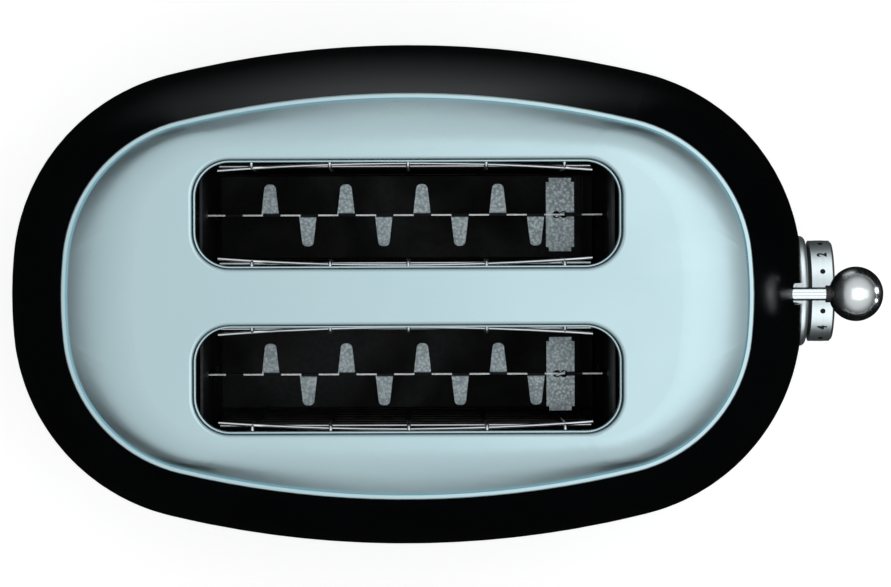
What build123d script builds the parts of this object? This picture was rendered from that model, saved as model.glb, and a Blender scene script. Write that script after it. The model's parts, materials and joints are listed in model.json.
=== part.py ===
from build123d import *

import os
from math import cos, hypot, radians, sin, sqrt

os.makedirs("parts", exist_ok=True)

# A long two-slot toaster. Millimetres, +Z up from the floor under the feet, +X towards the lever.
# Places along the length are measured from the middle of the body, and body_x puts that middle in
# the frame, whose origin is under the middle of the whole object, lever ball included.

# Bread slots in the steel deck
slot_length = 157.0
slot_width = 39.4
slot_corner = 13.2
slot_offset = 30.4
slots_x = 0.0
slot_roll = 1.8
slot_lip_depth = 3.5
liner_depth = 4.5
liner_ledge = 0.6
liner_round = 0.3

# Steel deck: its flat middle, the crown that falls away to the rim, the rolled bead there and
# the flat ledge inside the bead that carries the skirt
deck_sheet = 1.0
deck_end_margin = 22.7
deck_side_margin = 3.4
crown_end = 26.0
crown_side = 20.8
crown_height = 8.0
flat_straightness = 1700.0
bead_reach = 0.7
bead_height = 1.5
skirt_depth = 7.0
skirt_gap = 0.2
skirt_lap = 0.3
rim_ledge_height = 0.4
rim_ledge_reach = 4.4

# Body shell: three arcs draw each quarter of its outline at the widest level
side_arc = 383.0
end_arc = 179.0
corner_arc = 79.0
shell_wall = 1.2
shell_height = 166.0
widest_rise = 68.0
base_inset = 4.0
rim_end_inset = 25.0
rim_side_inset = 21.9
shoulder_power = 3.5
hem_width = 9.0
loft_overrun = 1.0

# Foot, base pan and plinth band
foot_height = 6.0
foot_radius = 9.0
foot_x = 98.0
foot_y = 62.0
foot_stem_radius = 3.0
foot_barb_radius = 4.2
foot_barb_height = 2.0
foot_bevel = 1.0
pan_floor = 2.0
pan_wall = 2.0
plinth_height = 16.0
plinth_inset = 6.0
plinth_wall = 1.2
plinth_flange_reach = 1.6
plinth_lap = 0.6
pan_gap = 0.1
wall_drop = 2.0

# Crumb tray, which slides out at the rear
tray_half_width = 54.0
tray_sheet = 0.8
tray_wall_height = 8.0
runner_height = 1.0
runner_width = 3.0
runner_y = 40.0
tray_front_gap = 4.0
tray_head_gap = 2.0
grip_overlap = 3.0
grip_height = 11.9
grip_lift = 0.6
grip_gap = 0.3
grip_lip_reach = 3.5
grip_lip_height = 3.0
grip_corner = 2.1

# Oven
oven_end_inset = 2.5
plate_sheet = 1.0
panel_sheet = 1.0
panel_gap = 7.9
plate_side_reach = 5.0
oven_top_drop = 18.0
foot_flange = 10.0
panel_flange = 4.0
carrier_slot_gap = 0.8
carrier_slot_spare = 2.0

# Heater boards and their ribbons
board_sheet = 0.8
board_offset = 54.5
board_bottom_rise = 16.0
board_top_drop = 12.0
ribbon_wire = 0.7
ribbon_gap = 0.05
ribbon_bend = 0.5
ribbon_turns = 12
ribbon_end_margin = 8.0

# Bread guards of welded wire
guard_wire = 1.4
guard_bar = 1.3
guard_offset = 17.2
guard_pitch = 29.0
guard_uprights = 5
guard_pivot_rise = 22.0
guard_hook = 5.0
guard_hook_bend = 2.0
guard_top_gap = 2.0
guard_bars = 6
guard_bar_first = 20.0
guard_bar_top_gap = 17.0
guard_rear_reach = 12.6
guard_front_reach = 10.3
guard_pivot_clearance = 0.05
guard_pivot_end = 2.0
guard_bow = 2.6
guard_bow_start = 0.8
weld_depth = 0.3

# Bread carriers and the spreader plates on them
carrier_depth = 65.0
toast_floor_rise = 37.0
strip_sheet = 0.6
strip_height = 8.0
strip_rear_reach = 8.0
strip_front_reach = 11.0
tab_length = 11.5
tab_root = 6.7
tab_tip = 4.0
tab_corner = 1.8
tab_count = 4
tab_left_x = 34.6
tab_right_x = 49.0
spreader_x = 58.3
spreader_width = 10.7
spreader_sheet = 1.0
spreader_gap = 2.5
spreader_notch_width = 1.1
spreader_notch_length = 1.6
twist_tab_length = 3.8
twist_tab_rise = 2.2
twist_tab_turn = 25.0
twist_hole_radius = 1.4
twist_hole_width = 1.5

# Guide rod, carriage and return spring
rod_radius = 3.0
rod_gap = 23.0
rod_end = 2.0
rod_clearance = 0.05
bushing_wall = 4.0
bushing_height = 22.0
bushing_drop = 15.0
rod_boss_height = 4.0
arm_thickness = 2.0
arm_margin = 3.0
arm_height = 11.0
web_half_width = 5.0
post_gap = 5.5
post_thickness = 4.5
post_top_rise = 5.0
shelf_half_width = 12.0
spring_radius = 5.0
spring_wire = 1.0
spring_turns = 20

# Lever
lever_rise = 25.0
stem_radius = 2.5
stem_fit = 0.05
ball_radius = 10.3
ball_stand_out = 16.6
stem_in_ball = 3.5
collar_radius = 3.2
collar_length = 3.0
collar_in_ball = 1.4
lever_slot_width = 8.0
lever_slot_spare = 3.8

# Holding magnet and its armature
magnet_y = 20.0
magnet_gap = 0.5
armature_sheet = 1.5
armature_length = 16.0
core_depth = 10.0
pole_width = 6.0
winding_space = 4.0
side_pole = 2.0
yoke_height = 6.0
coil_wall = 3.8
coil_end_gap = 0.4
coil_top_gap = 3.0
lug_height = 4.0

# Control bracket and board behind the front of the body
bracket_setback = 17.0
bracket_sheet = 2.0
bracket_half_width = 27.0
bracket_wide_height = 70.0
bracket_neck_half_width = 12.0
bracket_neck_spare = 4.0
bracket_slot_width = 7.0
bracket_foot = 10.0
board_gap = 3.4
pcb_sheet = 1.6
pcb_margin = 2.0
pcb_lift = 6.0
standoff_radius = 2.6
standoff_inset = 4.5
component_margin = 4.0
relay_size = (14.0, 18.0, 20.0)
capacitor_radius = 6.0
capacitor_length = 12.0
connector_size = (8.0, 10.0, 12.0)

# Browning dial, its bezel and the fixed hub with the three buttons
dial_rise = 28.0
bezel_radius = 22.05
bezel_wall = 1.25
bezel_stand_out = 7.0
bezel_lip = 3.0
bezel_round = 2.0
bezel_bore = 18.6
shell_hole_gap = 0.2
ring_radius = 20.15
ring_gap = 1.5
ring_length = 9.1
ring_bevel = 0.9
ring_lip = 3.8
ring_lip_bore = 15.6
sleeve_radius = 18.0
sleeve_start = 3.0
hub_radius = 15.0
hub_clearance = 0.05
hub_wall = 1.8
hub_recess = 1.3
hub_face = 2.0
track_sheet = 0.8
track_width = 3.5
wiper_width = 2.0
wiper_gap = 0.4
button_radius = 4.2
button_gap = 0.3
button_circle = 8.0
button_proud = 0.8
button_skirt = 0.8
button_stem_length = 5.0
switch_size = 4.0
switch_height = 3.0
switch_gap = 1.4

# Mains connections
terminal_size = (14.0, 40.0, 18.0)
terminal_height = 24.0
terminal_pitch = 10.0
terminal_hole_radius = 2.4
wire_radius = 1.3
wire_side_gap = 9.0
wire_spacing = 5.0
wire_bend = 8.0
wire_turn_y = 43.0
gland_x = -60.0
gland_y = 74.0
gland_radius = 4.5
gland_bore = 3.3
gland_flange = 6.5
gland_flange_height = 1.5
gland_length = 11.0

# Screws
screw_radius = 1.5
screw_head_radius = 2.75
screw_head_height = 2.0
shell_screw_radius = 1.3
shell_screw_inset = 10.4
shell_screw_angle = 50.0
shell_boss_radius = 3.1
shell_screw_end = 1.0
flange_screw_y = 48.0

# Places that follow from the sizes above
half_length = slot_length / 2 + deck_end_margin + crown_end + rim_end_inset
half_width = slot_offset + slot_width / 2 + deck_side_margin + crown_side + rim_side_inset
floor_z = foot_height + pan_floor
shell_base = floor_z + plinth_height
widest_z = shell_base + widest_rise
rim_z = shell_base + shell_height
top_z = rim_z + crown_height
ball_x = half_length + ball_stand_out
body_x = (half_length - ball_x - ball_radius) / 2

oven_half = slot_length / 2 - oven_end_inset
oven_rear = slots_x - oven_half
oven_front = slots_x + oven_half
oven_top = top_z - oven_top_drop
panel_y = slot_offset + slot_width / 2 + panel_gap
plate_half_width = panel_y + panel_sheet + plate_side_reach
panel_edge = panel_y + panel_sheet + panel_flange

carrier_z = top_z - carrier_depth
lowest_carrier_z = shell_base + toast_floor_rise
lever_travel = carrier_z - lowest_carrier_z
lever_z = carrier_z + lever_rise

rod_x = oven_front + plate_sheet + rod_gap
bushing_radius = rod_radius + rod_clearance + bushing_wall
bushing_base = carrier_z - bushing_drop
arm_x = oven_front + plate_sheet + strip_front_reach
post_x = rod_x + post_gap
stem_x = post_x + post_thickness
bracket_x = half_length - bracket_setback
pcb_x = bracket_x - bracket_sheet - board_gap - pcb_sheet
dial_z = shell_base + dial_rise
guard_pivot_z = floor_z + guard_pivot_rise
guard_top = oven_top + guard_top_gap


def level(z):
    """The horizontal plane at a height, with the middle of the body as its origin."""
    return Plane((body_x, 0, z))


def cross(x):
    """The upright plane across the toaster at x, where a point is (y, z)."""
    return Plane(origin=(body_x + x, 0, 0), x_dir=(0, 1, 0), z_dir=(1, 0, 0))


def lengthwise(y):
    """The upright plane along the toaster at y, where a point is (x, z)."""
    return Plane(origin=(body_x, y, 0), x_dir=(1, 0, 0), z_dir=(0, -1, 0))


def block(x_range, y_range, z_range, mode=Mode.ADD):
    """A rectangular block between two values along each axis."""
    x_low, x_high = x_range
    y_low, y_high = y_range
    with BuildSketch(level(z_range[0])) as outline:
        with Locations(((x_low + x_high) / 2, (y_low + y_high) / 2)):
            Rectangle(x_high - x_low, y_high - y_low)
    extrude(outline.sketch, amount=z_range[1] - z_range[0], mode=mode)


def rod_along_x(x_range, y, z, radius, mode=Mode.ADD):
    """A round bar or hole along the toaster."""
    with BuildSketch(cross(x_range[0])) as outline:
        with Locations((y, z)):
            Circle(radius)
    extrude(outline.sketch, amount=x_range[1] - x_range[0], mode=mode)


def rod_upright(x, y, z_range, radius, mode=Mode.ADD):
    """A round bar or hole that stands upright."""
    with BuildSketch(level(z_range[0])) as outline:
        with Locations((x, y)):
            Circle(radius)
    extrude(outline.sketch, amount=z_range[1] - z_range[0], mode=mode)


def oval_centres(end_inset, side_inset, straightness=0):
    """Centres and radii of the side, corner and end arcs of the first quarter of an oval."""
    shrink = (end_inset + side_inset) / 2
    side_radius = side_arc - shrink + straightness
    corner_radius = corner_arc - shrink
    end_radius = end_arc - shrink
    side_centre = Vector(0, half_width - side_inset - side_radius)
    end_centre = Vector(half_length - end_inset - end_radius, 0)
    side_reach = side_radius - corner_radius
    end_reach = end_radius - corner_radius
    between = end_centre - side_centre
    distance = between.length
    along = (side_reach**2 - end_reach**2 + distance**2) / (2 * distance)
    out = sqrt(side_reach**2 - along**2)
    unit = between / distance
    corner_centre = side_centre + unit * along + Vector(unit.Y, -unit.X) * out
    return side_centre, side_radius, corner_centre, corner_radius, end_centre, end_radius


def oval(end_inset, side_inset, straightness=0):
    """The body's outline from above, drawn inside its widest one, with its sides made straighter."""
    centres = oval_centres(end_inset, side_inset, straightness)
    side_centre, side_radius, corner_centre, corner_radius, end_centre, end_radius = centres
    side_join = side_centre + (corner_centre - side_centre).normalized() * side_radius
    end_join = end_centre + (corner_centre - end_centre).normalized() * end_radius
    chord_middle = (side_join + end_join) / 2
    corner_middle = corner_centre + (chord_middle - corner_centre).normalized() * corner_radius
    with BuildLine() as outline:
        for turn in (1, -1):
            ThreePointArc(
                (turn * side_join.X, turn * side_join.Y),
                (0, turn * (half_width - side_inset)),
                (-turn * side_join.X, turn * side_join.Y),
            )
            ThreePointArc(
                (turn * end_join.X, turn * end_join.Y),
                (turn * (half_length - end_inset), 0),
                (turn * end_join.X, -turn * end_join.Y),
            )
            for flip in (1, -1):
                ThreePointArc(
                    (turn * side_join.X, flip * side_join.Y),
                    (turn * corner_middle.X, flip * corner_middle.Y),
                    (turn * end_join.X, flip * end_join.Y),
                )
    return outline.edges()


def oval_ring(z_range, outer, inner, mode=Mode.ADD):
    """An upright band that follows the body's outline between two insets, each (end, side)."""
    with BuildSketch(level(z_range[0])) as outline:
        make_face(oval(*outer))
        make_face(oval(*inner), mode=Mode.SUBTRACT)
    extrude(outline.sketch, amount=z_range[1] - z_range[0], mode=mode)


def shell_insets(z):
    """How far the side of the body stands inside its widest outline, at the ends and the sides."""
    if z < widest_z:
        drawn_in = base_inset * ((widest_z - z) / (widest_z - shell_base)) ** 2
        return drawn_in, drawn_in
    share = ((z - widest_z) / (rim_z - widest_z)) ** shoulder_power
    return rim_end_inset * share, rim_side_inset * share


# Screws that hold the shell, at the four corners of the base
centres = oval_centres(shell_screw_inset, shell_screw_inset)
corner_centre, corner_radius = centres[2], centres[3]
shell_screw_x = corner_centre.X + corner_radius * cos(radians(shell_screw_angle))
shell_screw_y = corner_centre.Y + corner_radius * sin(radians(shell_screw_angle))
shell_screw_spots = [(x * shell_screw_x, y * shell_screw_y) for x in (1, -1) for y in (1, -1)]
foot_spots = [(x * foot_x, y * foot_y) for x in (1, -1) for y in (1, -1)]

# Screws through the flanges of the end plates and the foot of the control bracket
rear_screw_y = tray_half_width + (plate_half_width - tray_half_width) / 2
chassis_screw_spots = [
    (x, y * turn)
    for x, y in (
        (oven_front + plate_sheet + foot_flange / 2, flange_screw_y),
        (oven_rear - plate_sheet - foot_flange / 2, rear_screw_y),
        (bracket_x - bracket_sheet - foot_flange / 2, bracket_half_width - standoff_inset),
    )
    for turn in (1, -1)
]

# Body shell
shell_shares = (0, 0.1, 0.2, 0.3, 0.41, 0.55, 0.68, 0.79, 0.88, 0.95, 1)
with BuildPart() as body_shell:
    for share in shell_shares:
        z = shell_base + shell_height * share
        end_inset, side_inset = shell_insets(z)
        with BuildSketch(level(z)):
            make_face(oval(end_inset, side_inset))
    loft()
    for share in shell_shares:
        overrun = {0: -loft_overrun, 1: loft_overrun}.get(share, 0)
        z = shell_base + shell_height * share + overrun
        end_inset, side_inset = shell_insets(z)
        with BuildSketch(level(z)):
            make_face(oval(end_inset + shell_wall, side_inset + shell_wall))
    loft(mode=Mode.SUBTRACT)
    hem_outer = base_inset + shell_wall / 2
    hem_inner = base_inset + hem_width
    hem_z = (shell_base, shell_base + shell_wall)
    oval_ring(hem_z, (hem_outer, hem_outer), (hem_inner, hem_inner))
    for x, y in shell_screw_spots:
        rod_upright(x, y, hem_z, shell_screw_radius, mode=Mode.SUBTRACT)
    slot_low = lowest_carrier_z + lever_rise - lever_slot_spare - stem_radius
    slot_high = lever_z + lever_slot_spare
    with BuildSketch(cross(rod_x)):
        with Locations((0, (slot_low + slot_high) / 2)):
            SlotOverall(slot_high - slot_low, lever_slot_width, rotation=90)
        with Locations((0, dial_z)):
            Circle(bezel_radius + shell_hole_gap)
    extrude(amount=ball_x - rod_x, mode=Mode.SUBTRACT)
body_shell.part.label = "body_shell"
export_step(body_shell.part, "parts/body_shell.step")


# Steel deck
crown_shares = (0, 0.25, 0.5, 0.75, 1)


def crown_level(share):
    """Height of the deck's crown a share of the way from the rim to the flat middle."""
    return rim_z + crown_height * (1 - (1 - share) ** 2)


def crown_outline(share, sheet=0):
    """Outline of the crown at that share; its sides grow straighter towards the slots."""
    end_inset = rim_end_inset + crown_end * share + sheet
    side_inset = rim_side_inset + crown_side * share + sheet
    return oval(end_inset, side_inset, flat_straightness * share**2)


lip_outside = (slot_length + 2 * deck_sheet, slot_width + 2 * deck_sheet, slot_corner + deck_sheet)

# The rolled bead that edges the deck where it meets the black body
with BuildPart() as deck_bead:
    oval_ring(
        (rim_z, rim_z + bead_height),
        (rim_end_inset - bead_reach, rim_side_inset - bead_reach),
        (rim_end_inset + deck_sheet, rim_side_inset + deck_sheet),
    )
    bead_top = deck_bead.faces().sort_by(Axis.Z)[-1]
    fillet(bead_top.outer_wire().edges(), radius=bead_height / 2)


with BuildPart() as top_deck:
    for share in crown_shares:
        with BuildSketch(level(crown_level(share))):
            make_face(crown_outline(share))
    loft()
    for share in crown_shares:
        with BuildSketch(level(crown_level(share) - deck_sheet)):
            make_face(crown_outline(share, deck_sheet))
    loft(mode=Mode.SUBTRACT)
    add(deck_bead.part)
    oval_ring(
        (rim_z, rim_z + rim_ledge_height),
        (rim_end_inset + deck_sheet / 2, rim_side_inset + deck_sheet / 2),
        (rim_end_inset + rim_ledge_reach, rim_side_inset + rim_ledge_reach),
    )
    skirt = shell_wall + skirt_gap
    oval_ring(
        (rim_z - skirt_depth, rim_z + skirt_lap),
        (rim_end_inset + skirt, rim_side_inset + skirt),
        (rim_end_inset + skirt + deck_sheet, rim_side_inset + skirt + deck_sheet),
    )
    with BuildSketch(level(top_z - slot_lip_depth)):
        with Locations((slots_x, slot_offset), (slots_x, -slot_offset)):
            RectangleRounded(*lip_outside)
    extrude(amount=slot_lip_depth)
    with BuildSketch(level(top_z - slot_lip_depth)):
        with Locations((slots_x, slot_offset), (slots_x, -slot_offset)):
            RectangleRounded(slot_length, slot_width, slot_corner)
    extrude(amount=slot_lip_depth, mode=Mode.SUBTRACT)
    flat_top = top_deck.faces().sort_by(Axis.Z)[-1]
    slot_edges = [edge for wire in flat_top.inner_wires() for edge in wire.edges()]
    fillet(slot_edges, radius=slot_roll)
top_deck.part.label = "top_deck"
export_step(top_deck.part, "parts/top_deck.step")

# Slot liners under the deck's lips, each with a ledge that stands a little way into the slot
liner_inside = (slot_length - 2 * liner_ledge, slot_width - 2 * liner_ledge, slot_corner - liner_ledge)
for side, name in ((1, "left"), (-1, "right")):
    with BuildPart() as slot_liner:
        with BuildSketch(level(top_z - slot_lip_depth - liner_depth)):
            with Locations((slots_x, side * slot_offset)):
                RectangleRounded(*lip_outside)
                RectangleRounded(*liner_inside, mode=Mode.SUBTRACT)
        extrude(amount=liner_depth)
        liner_top = slot_liner.faces().sort_by(Axis.Z)[-1]
        fillet(liner_top.inner_wires()[0].edges(), radius=liner_round)
    slot_liner.part.label = f"slot_liner_{name}"
    export_step(slot_liner.part, f"parts/slot_liner_{name}.step")

# Plinth band, the bright strip that the body stands on
tray_mouth_half = tray_half_width + grip_overlap
tray_mouth_x = (-half_length - ball_radius, oven_rear - tray_front_gap)
tray_mouth_z = (floor_z - plinth_lap, floor_z + grip_lift + grip_height + grip_gap)
with BuildPart() as plinth_band:
    plinth_inner = plinth_inset + plinth_wall
    oval_ring((floor_z, shell_base), (plinth_inset, plinth_inset), (plinth_inner, plinth_inner))
    flange_inset = plinth_inset - plinth_flange_reach
    oval_ring(
        (shell_base - plinth_wall, shell_base), (flange_inset, flange_inset), (plinth_inner, plinth_inner)
    )
    mouth_y = (-tray_mouth_half - grip_gap, tray_mouth_half + grip_gap)
    block(tray_mouth_x, mouth_y, tray_mouth_z, mode=Mode.SUBTRACT)
plinth_band.part.label = "plinth_band"
export_step(plinth_band.part, "parts/plinth_band.step")

# Base pan
with BuildPart() as base_pan:
    with BuildSketch(level(foot_height)):
        floor_inset = plinth_inset - plinth_lap
        make_face(oval(floor_inset, floor_inset))
    extrude(amount=pan_floor)
    wall_outer = plinth_inner + pan_gap
    wall_inner = wall_outer + pan_wall
    oval_ring((floor_z, shell_base - wall_drop), (wall_outer, wall_outer), (wall_inner, wall_inner))
    for x, y in shell_screw_spots:
        rod_upright(x, y, (floor_z, shell_base), shell_boss_radius)
    rod_upright(rod_x, 0, (floor_z, floor_z + rod_boss_height), rod_radius + bushing_wall)
    block(tray_mouth_x, mouth_y, (floor_z, tray_mouth_z[1]), mode=Mode.SUBTRACT)
    for turn in (1, -1):
        runner_sides = (turn * runner_y - runner_width / 2, turn * runner_y + runner_width / 2)
        runner_ends = (-foot_x, oven_front - tray_front_gap)
        block(runner_ends, runner_sides, (floor_z, floor_z + runner_height))
    rod_upright(rod_x, 0, (floor_z, floor_z + rod_boss_height), rod_radius, mode=Mode.SUBTRACT)
    for x, y in foot_spots:
        stem_hole = foot_stem_radius + pan_gap
        rod_upright(x, y, (foot_height, floor_z), stem_hole, mode=Mode.SUBTRACT)
    for x, y in shell_screw_spots:
        rod_upright(x, y, (foot_height, shell_base), shell_screw_radius, mode=Mode.SUBTRACT)
    for x, y in chassis_screw_spots:
        rod_upright(x, y, (foot_height, floor_z), screw_radius, mode=Mode.SUBTRACT)
    rod_upright(gland_x, gland_y, (foot_height, floor_z), gland_radius, mode=Mode.SUBTRACT)
base_pan.part.label = "base_pan"
export_step(base_pan.part, "parts/base_pan.step")

# Rubber feet, each with a barbed stem that snaps into the pan
with BuildPart() as rubber_feet:
    for x, y in foot_spots:
        with BuildSketch(lengthwise(y)) as foot_profile:
            with BuildLine():
                Polyline(
                    (x, 0),
                    (x + foot_radius - foot_bevel, 0),
                    (x + foot_radius, foot_bevel),
                    (x + foot_radius - foot_bevel, foot_height),
                    (x + foot_stem_radius, foot_height),
                    (x + foot_stem_radius, floor_z),
                    (x + foot_barb_radius, floor_z),
                    (x + foot_stem_radius, floor_z + foot_barb_height),
                    (x, floor_z + foot_barb_height),
                    close=True,
                )
            make_face()
        revolve(axis=Axis((body_x + x, y, 0), (0, 0, 1)))
rubber_feet.part.label = "rubber_feet"
export_step(rubber_feet.part, "parts/rubber_feet.step")

# Crumb tray, whose rear edge follows the plinth, and the grip that closes the opening
tray_floor_z = floor_z + runner_height
tray_x = (-half_length, oven_front - tray_front_gap)
tray_middle = (tray_x[0] + tray_x[1]) / 2
with BuildPart() as crumb_tray:
    with BuildSketch(level(tray_floor_z)):
        with Locations((tray_middle, 0)):
            Rectangle(tray_x[1] - tray_x[0], 2 * tray_half_width)
        make_face(oval(plinth_inner, plinth_inner), mode=Mode.INTERSECT)
    extrude(amount=tray_wall_height)
    with BuildSketch(level(tray_floor_z + tray_sheet)):
        with Locations((tray_middle - tray_sheet, 0)):
            Rectangle(tray_x[1] - tray_x[0], 2 * (tray_half_width - tray_sheet))
        inside = plinth_inner + tray_sheet
        make_face(oval(inside, inside), mode=Mode.INTERSECT)
    extrude(amount=tray_wall_height, mode=Mode.SUBTRACT)
crumb_tray.part.label = "crumb_tray"
export_step(crumb_tray.part, "parts/crumb_tray.step")

grip_z = (floor_z + grip_lift, floor_z + grip_lift + grip_height)
with BuildPart() as crumb_tray_grip:
    oval_ring(grip_z, (plinth_inset, plinth_inset), (plinth_inner, plinth_inner))
    lip_outer = plinth_inset - grip_lip_reach
    oval_ring(
        (grip_z[1] - grip_lip_height, grip_z[1]), (lip_outer, lip_outer), (plinth_inner, plinth_inner)
    )
    block(tray_mouth_x, (-tray_mouth_half, tray_mouth_half), grip_z, mode=Mode.INTERSECT)
    upright_edges = crumb_tray_grip.edges().filter_by(Axis.Z).group_by(Axis.Y)
    lip_edges = [group.sort_by(Axis.X)[0] for group in (upright_edges[0], upright_edges[-1])]
    fillet(lip_edges, radius=grip_corner)
crumb_tray_grip.part.label = "crumb_tray_grip"
export_step(crumb_tray_grip.part, "parts/crumb_tray_grip.step")

# Oven end plates, with upright slots for the carriers and pivot holes for the guards
carrier_slot_width = strip_sheet + 2 * carrier_slot_gap
carrier_slot_z = (
    lowest_carrier_z - strip_height - carrier_slot_spare,
    carrier_z + spreader_sheet + carrier_slot_spare,
)
guard_spots = [
    (side * slot_offset + facing * guard_offset, side, facing) for side in (1, -1) for facing in (1, -1)
]


def cut_oven_openings(plate_range):
    """Cut the carrier slots and the guards' pivot holes through an end plate."""
    for side in (1, -1):
        slot_sides = (
            side * slot_offset - carrier_slot_width / 2,
            side * slot_offset + carrier_slot_width / 2,
        )
        block(plate_range, slot_sides, carrier_slot_z, mode=Mode.SUBTRACT)
    for y, side, facing in guard_spots:
        pivot_hole = guard_bar / 2 + guard_pivot_clearance
        rod_along_x(plate_range, y, guard_pivot_z, pivot_hole, mode=Mode.SUBTRACT)


with BuildPart() as oven_end_plate_front:
    plate_range = (oven_front, oven_front + plate_sheet)
    plate_sides = (-plate_half_width, plate_half_width)
    block(plate_range, plate_sides, (floor_z, oven_top))
    block((oven_front, oven_front + foot_flange), plate_sides, (floor_z, floor_z + plate_sheet))
    shelf_end = rod_x + bushing_radius
    shelf_sides = (-shelf_half_width, shelf_half_width)
    block((oven_front, shelf_end), shelf_sides, (oven_top - plate_sheet, oven_top))
    cut_oven_openings(plate_range)
    rod_upright(rod_x, 0, (oven_top - plate_sheet, oven_top), rod_radius, mode=Mode.SUBTRACT)
    for x, y in chassis_screw_spots:
        rod_upright(x, y, (floor_z, floor_z + plate_sheet), screw_radius, mode=Mode.SUBTRACT)
oven_end_plate_front.part.label = "oven_end_plate_front"
export_step(oven_end_plate_front.part, "parts/oven_end_plate_front.step")

with BuildPart() as oven_end_plate_rear:
    plate_range = (oven_rear - plate_sheet, oven_rear)
    block(plate_range, plate_sides, (floor_z, oven_top))
    block((oven_rear - foot_flange, oven_rear), plate_sides, (floor_z, floor_z + plate_sheet))
    tray_gap_sides = (-tray_half_width - grip_gap, tray_half_width + grip_gap)
    tray_gap_z = (floor_z, tray_floor_z + tray_wall_height + tray_head_gap)
    block((oven_rear - foot_flange, oven_rear), tray_gap_sides, tray_gap_z, mode=Mode.SUBTRACT)
    cut_oven_openings(plate_range)
    for x, y in chassis_screw_spots:
        rod_upright(x, y, (floor_z, floor_z + plate_sheet), screw_radius, mode=Mode.SUBTRACT)
oven_end_plate_rear.part.label = "oven_end_plate_rear"
export_step(oven_end_plate_rear.part, "parts/oven_end_plate_rear.step")

# Oven side panels between the end plates, and the three heater boards
for side, name in ((1, "left"), (-1, "right")):
    with BuildPart() as side_panel:
        panel_sides = sorted((side * panel_y, side * (panel_y + panel_sheet)))
        block((oven_rear, oven_front), panel_sides, (floor_z, oven_top))
        flange_sides = sorted((side * panel_y, side * panel_edge))
        block((oven_rear, oven_front), flange_sides, (floor_z, floor_z + panel_sheet))
    side_panel.part.label = f"oven_side_panel_{name}"
    export_step(side_panel.part, f"parts/oven_side_panel_{name}.step")

board_z = (floor_z + board_bottom_rise, oven_top - board_top_drop)
ribbon_radius = ribbon_wire / 2
ribbon_stand = board_sheet / 2 + ribbon_gap + ribbon_radius
ribbon_low = board_z[0] - ribbon_gap - ribbon_radius
ribbon_high = board_z[1] + ribbon_gap + ribbon_radius
ribbon_pitch = (2 * oven_half - 2 * ribbon_end_margin) / ribbon_turns
for place, name in ((1, "left"), (0, "centre"), (-1, "right")):
    y = place * board_offset
    with BuildPart() as heater_board:
        board_sides = (y - board_sheet / 2, y + board_sheet / 2)
        block((oven_rear, oven_front), board_sides, board_z)
    heater_board.part.label = f"heater_board_{name}"
    export_step(heater_board.part, f"parts/heater_board_{name}.step")

    # The ribbon climbs the front of the board and comes down its back, half a pitch further on
    ribbon_points = []
    for turn in range(ribbon_turns):
        up_x = oven_rear + ribbon_end_margin + turn * ribbon_pitch
        down_x = up_x + ribbon_pitch / 2
        ribbon_points += [
            (up_x, y + ribbon_stand, ribbon_low),
            (up_x, y + ribbon_stand, ribbon_high),
            (down_x, y - ribbon_stand, ribbon_high),
            (down_x, y - ribbon_stand, ribbon_low),
        ]
    with BuildPart() as heater_ribbon:
        with BuildLine(level(0)) as ribbon_path:
            FilletPolyline(*ribbon_points, radius=ribbon_bend)
        with BuildSketch(Plane(origin=ribbon_path.line @ 0, z_dir=ribbon_path.line % 0)):
            Circle(ribbon_radius)
        sweep()
    heater_ribbon.part.label = f"heater_ribbon_{name}"
    export_step(heater_ribbon.part, f"parts/heater_ribbon_{name}.step")

# Bread guards: cages of welded wire that tip about their lowest bar
upright_xs = [spreader_x - guard_pitch * i for i in range(guard_uprights)]
guard_x = (upright_xs[-1] - guard_rear_reach, upright_xs[0] + guard_front_reach)
bar_stand = (guard_wire + guard_bar) / 2 - weld_depth
bar_step = (guard_top - guard_bar_top_gap - guard_pivot_z - guard_bar_first) / (guard_bars - 1)
for guard_y, side, facing in guard_spots:
    name = ("left" if side > 0 else "right") + ("_outer" if side == facing else "_inner")
    with BuildPart() as bread_guard:
        for x in upright_xs:
            with BuildLine(cross(x)) as upright:
                FilletPolyline(
                    (guard_y, guard_pivot_z),
                    (guard_y, guard_top),
                    (guard_y + facing * guard_hook, guard_top),
                    radius=guard_hook_bend,
                )
            with BuildSketch(level(guard_pivot_z)):
                with Locations((x, guard_y)):
                    Circle(guard_wire / 2)
            sweep()
        pivot_x = (oven_rear - plate_sheet - guard_pivot_end, oven_front + plate_sheet + guard_pivot_end)
        rod_along_x(pivot_x, guard_y, guard_pivot_z, guard_bar / 2)
        for bar in range(guard_bars):
            bar_z = guard_pivot_z + guard_bar_first + bar * bar_step
            rod_along_x(guard_x, guard_y + facing * bar_stand, bar_z, guard_bar / 2)
        rod_along_x(guard_x, guard_y + facing * guard_hook, guard_top, guard_bar / 2)
        bow_z = guard_top - bar_stand
        bow_ends_y = guard_y - facing * guard_bow_start
        bow_middle_y = bow_ends_y + facing * guard_bow
        with BuildLine(level(bow_z)) as bowed_bar:
            ThreePointArc(
                (guard_x[0], bow_ends_y), (sum(guard_x) / 2, bow_middle_y), (guard_x[1], bow_ends_y)
            )
        with BuildSketch(Plane(origin=bowed_bar.line @ 0, z_dir=bowed_bar.line % 0)):
            Circle(guard_bar / 2)
        sweep()
    bread_guard.part.label = f"bread_guard_{name}"
    export_step(bread_guard.part, f"parts/bread_guard_{name}.step")

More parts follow.
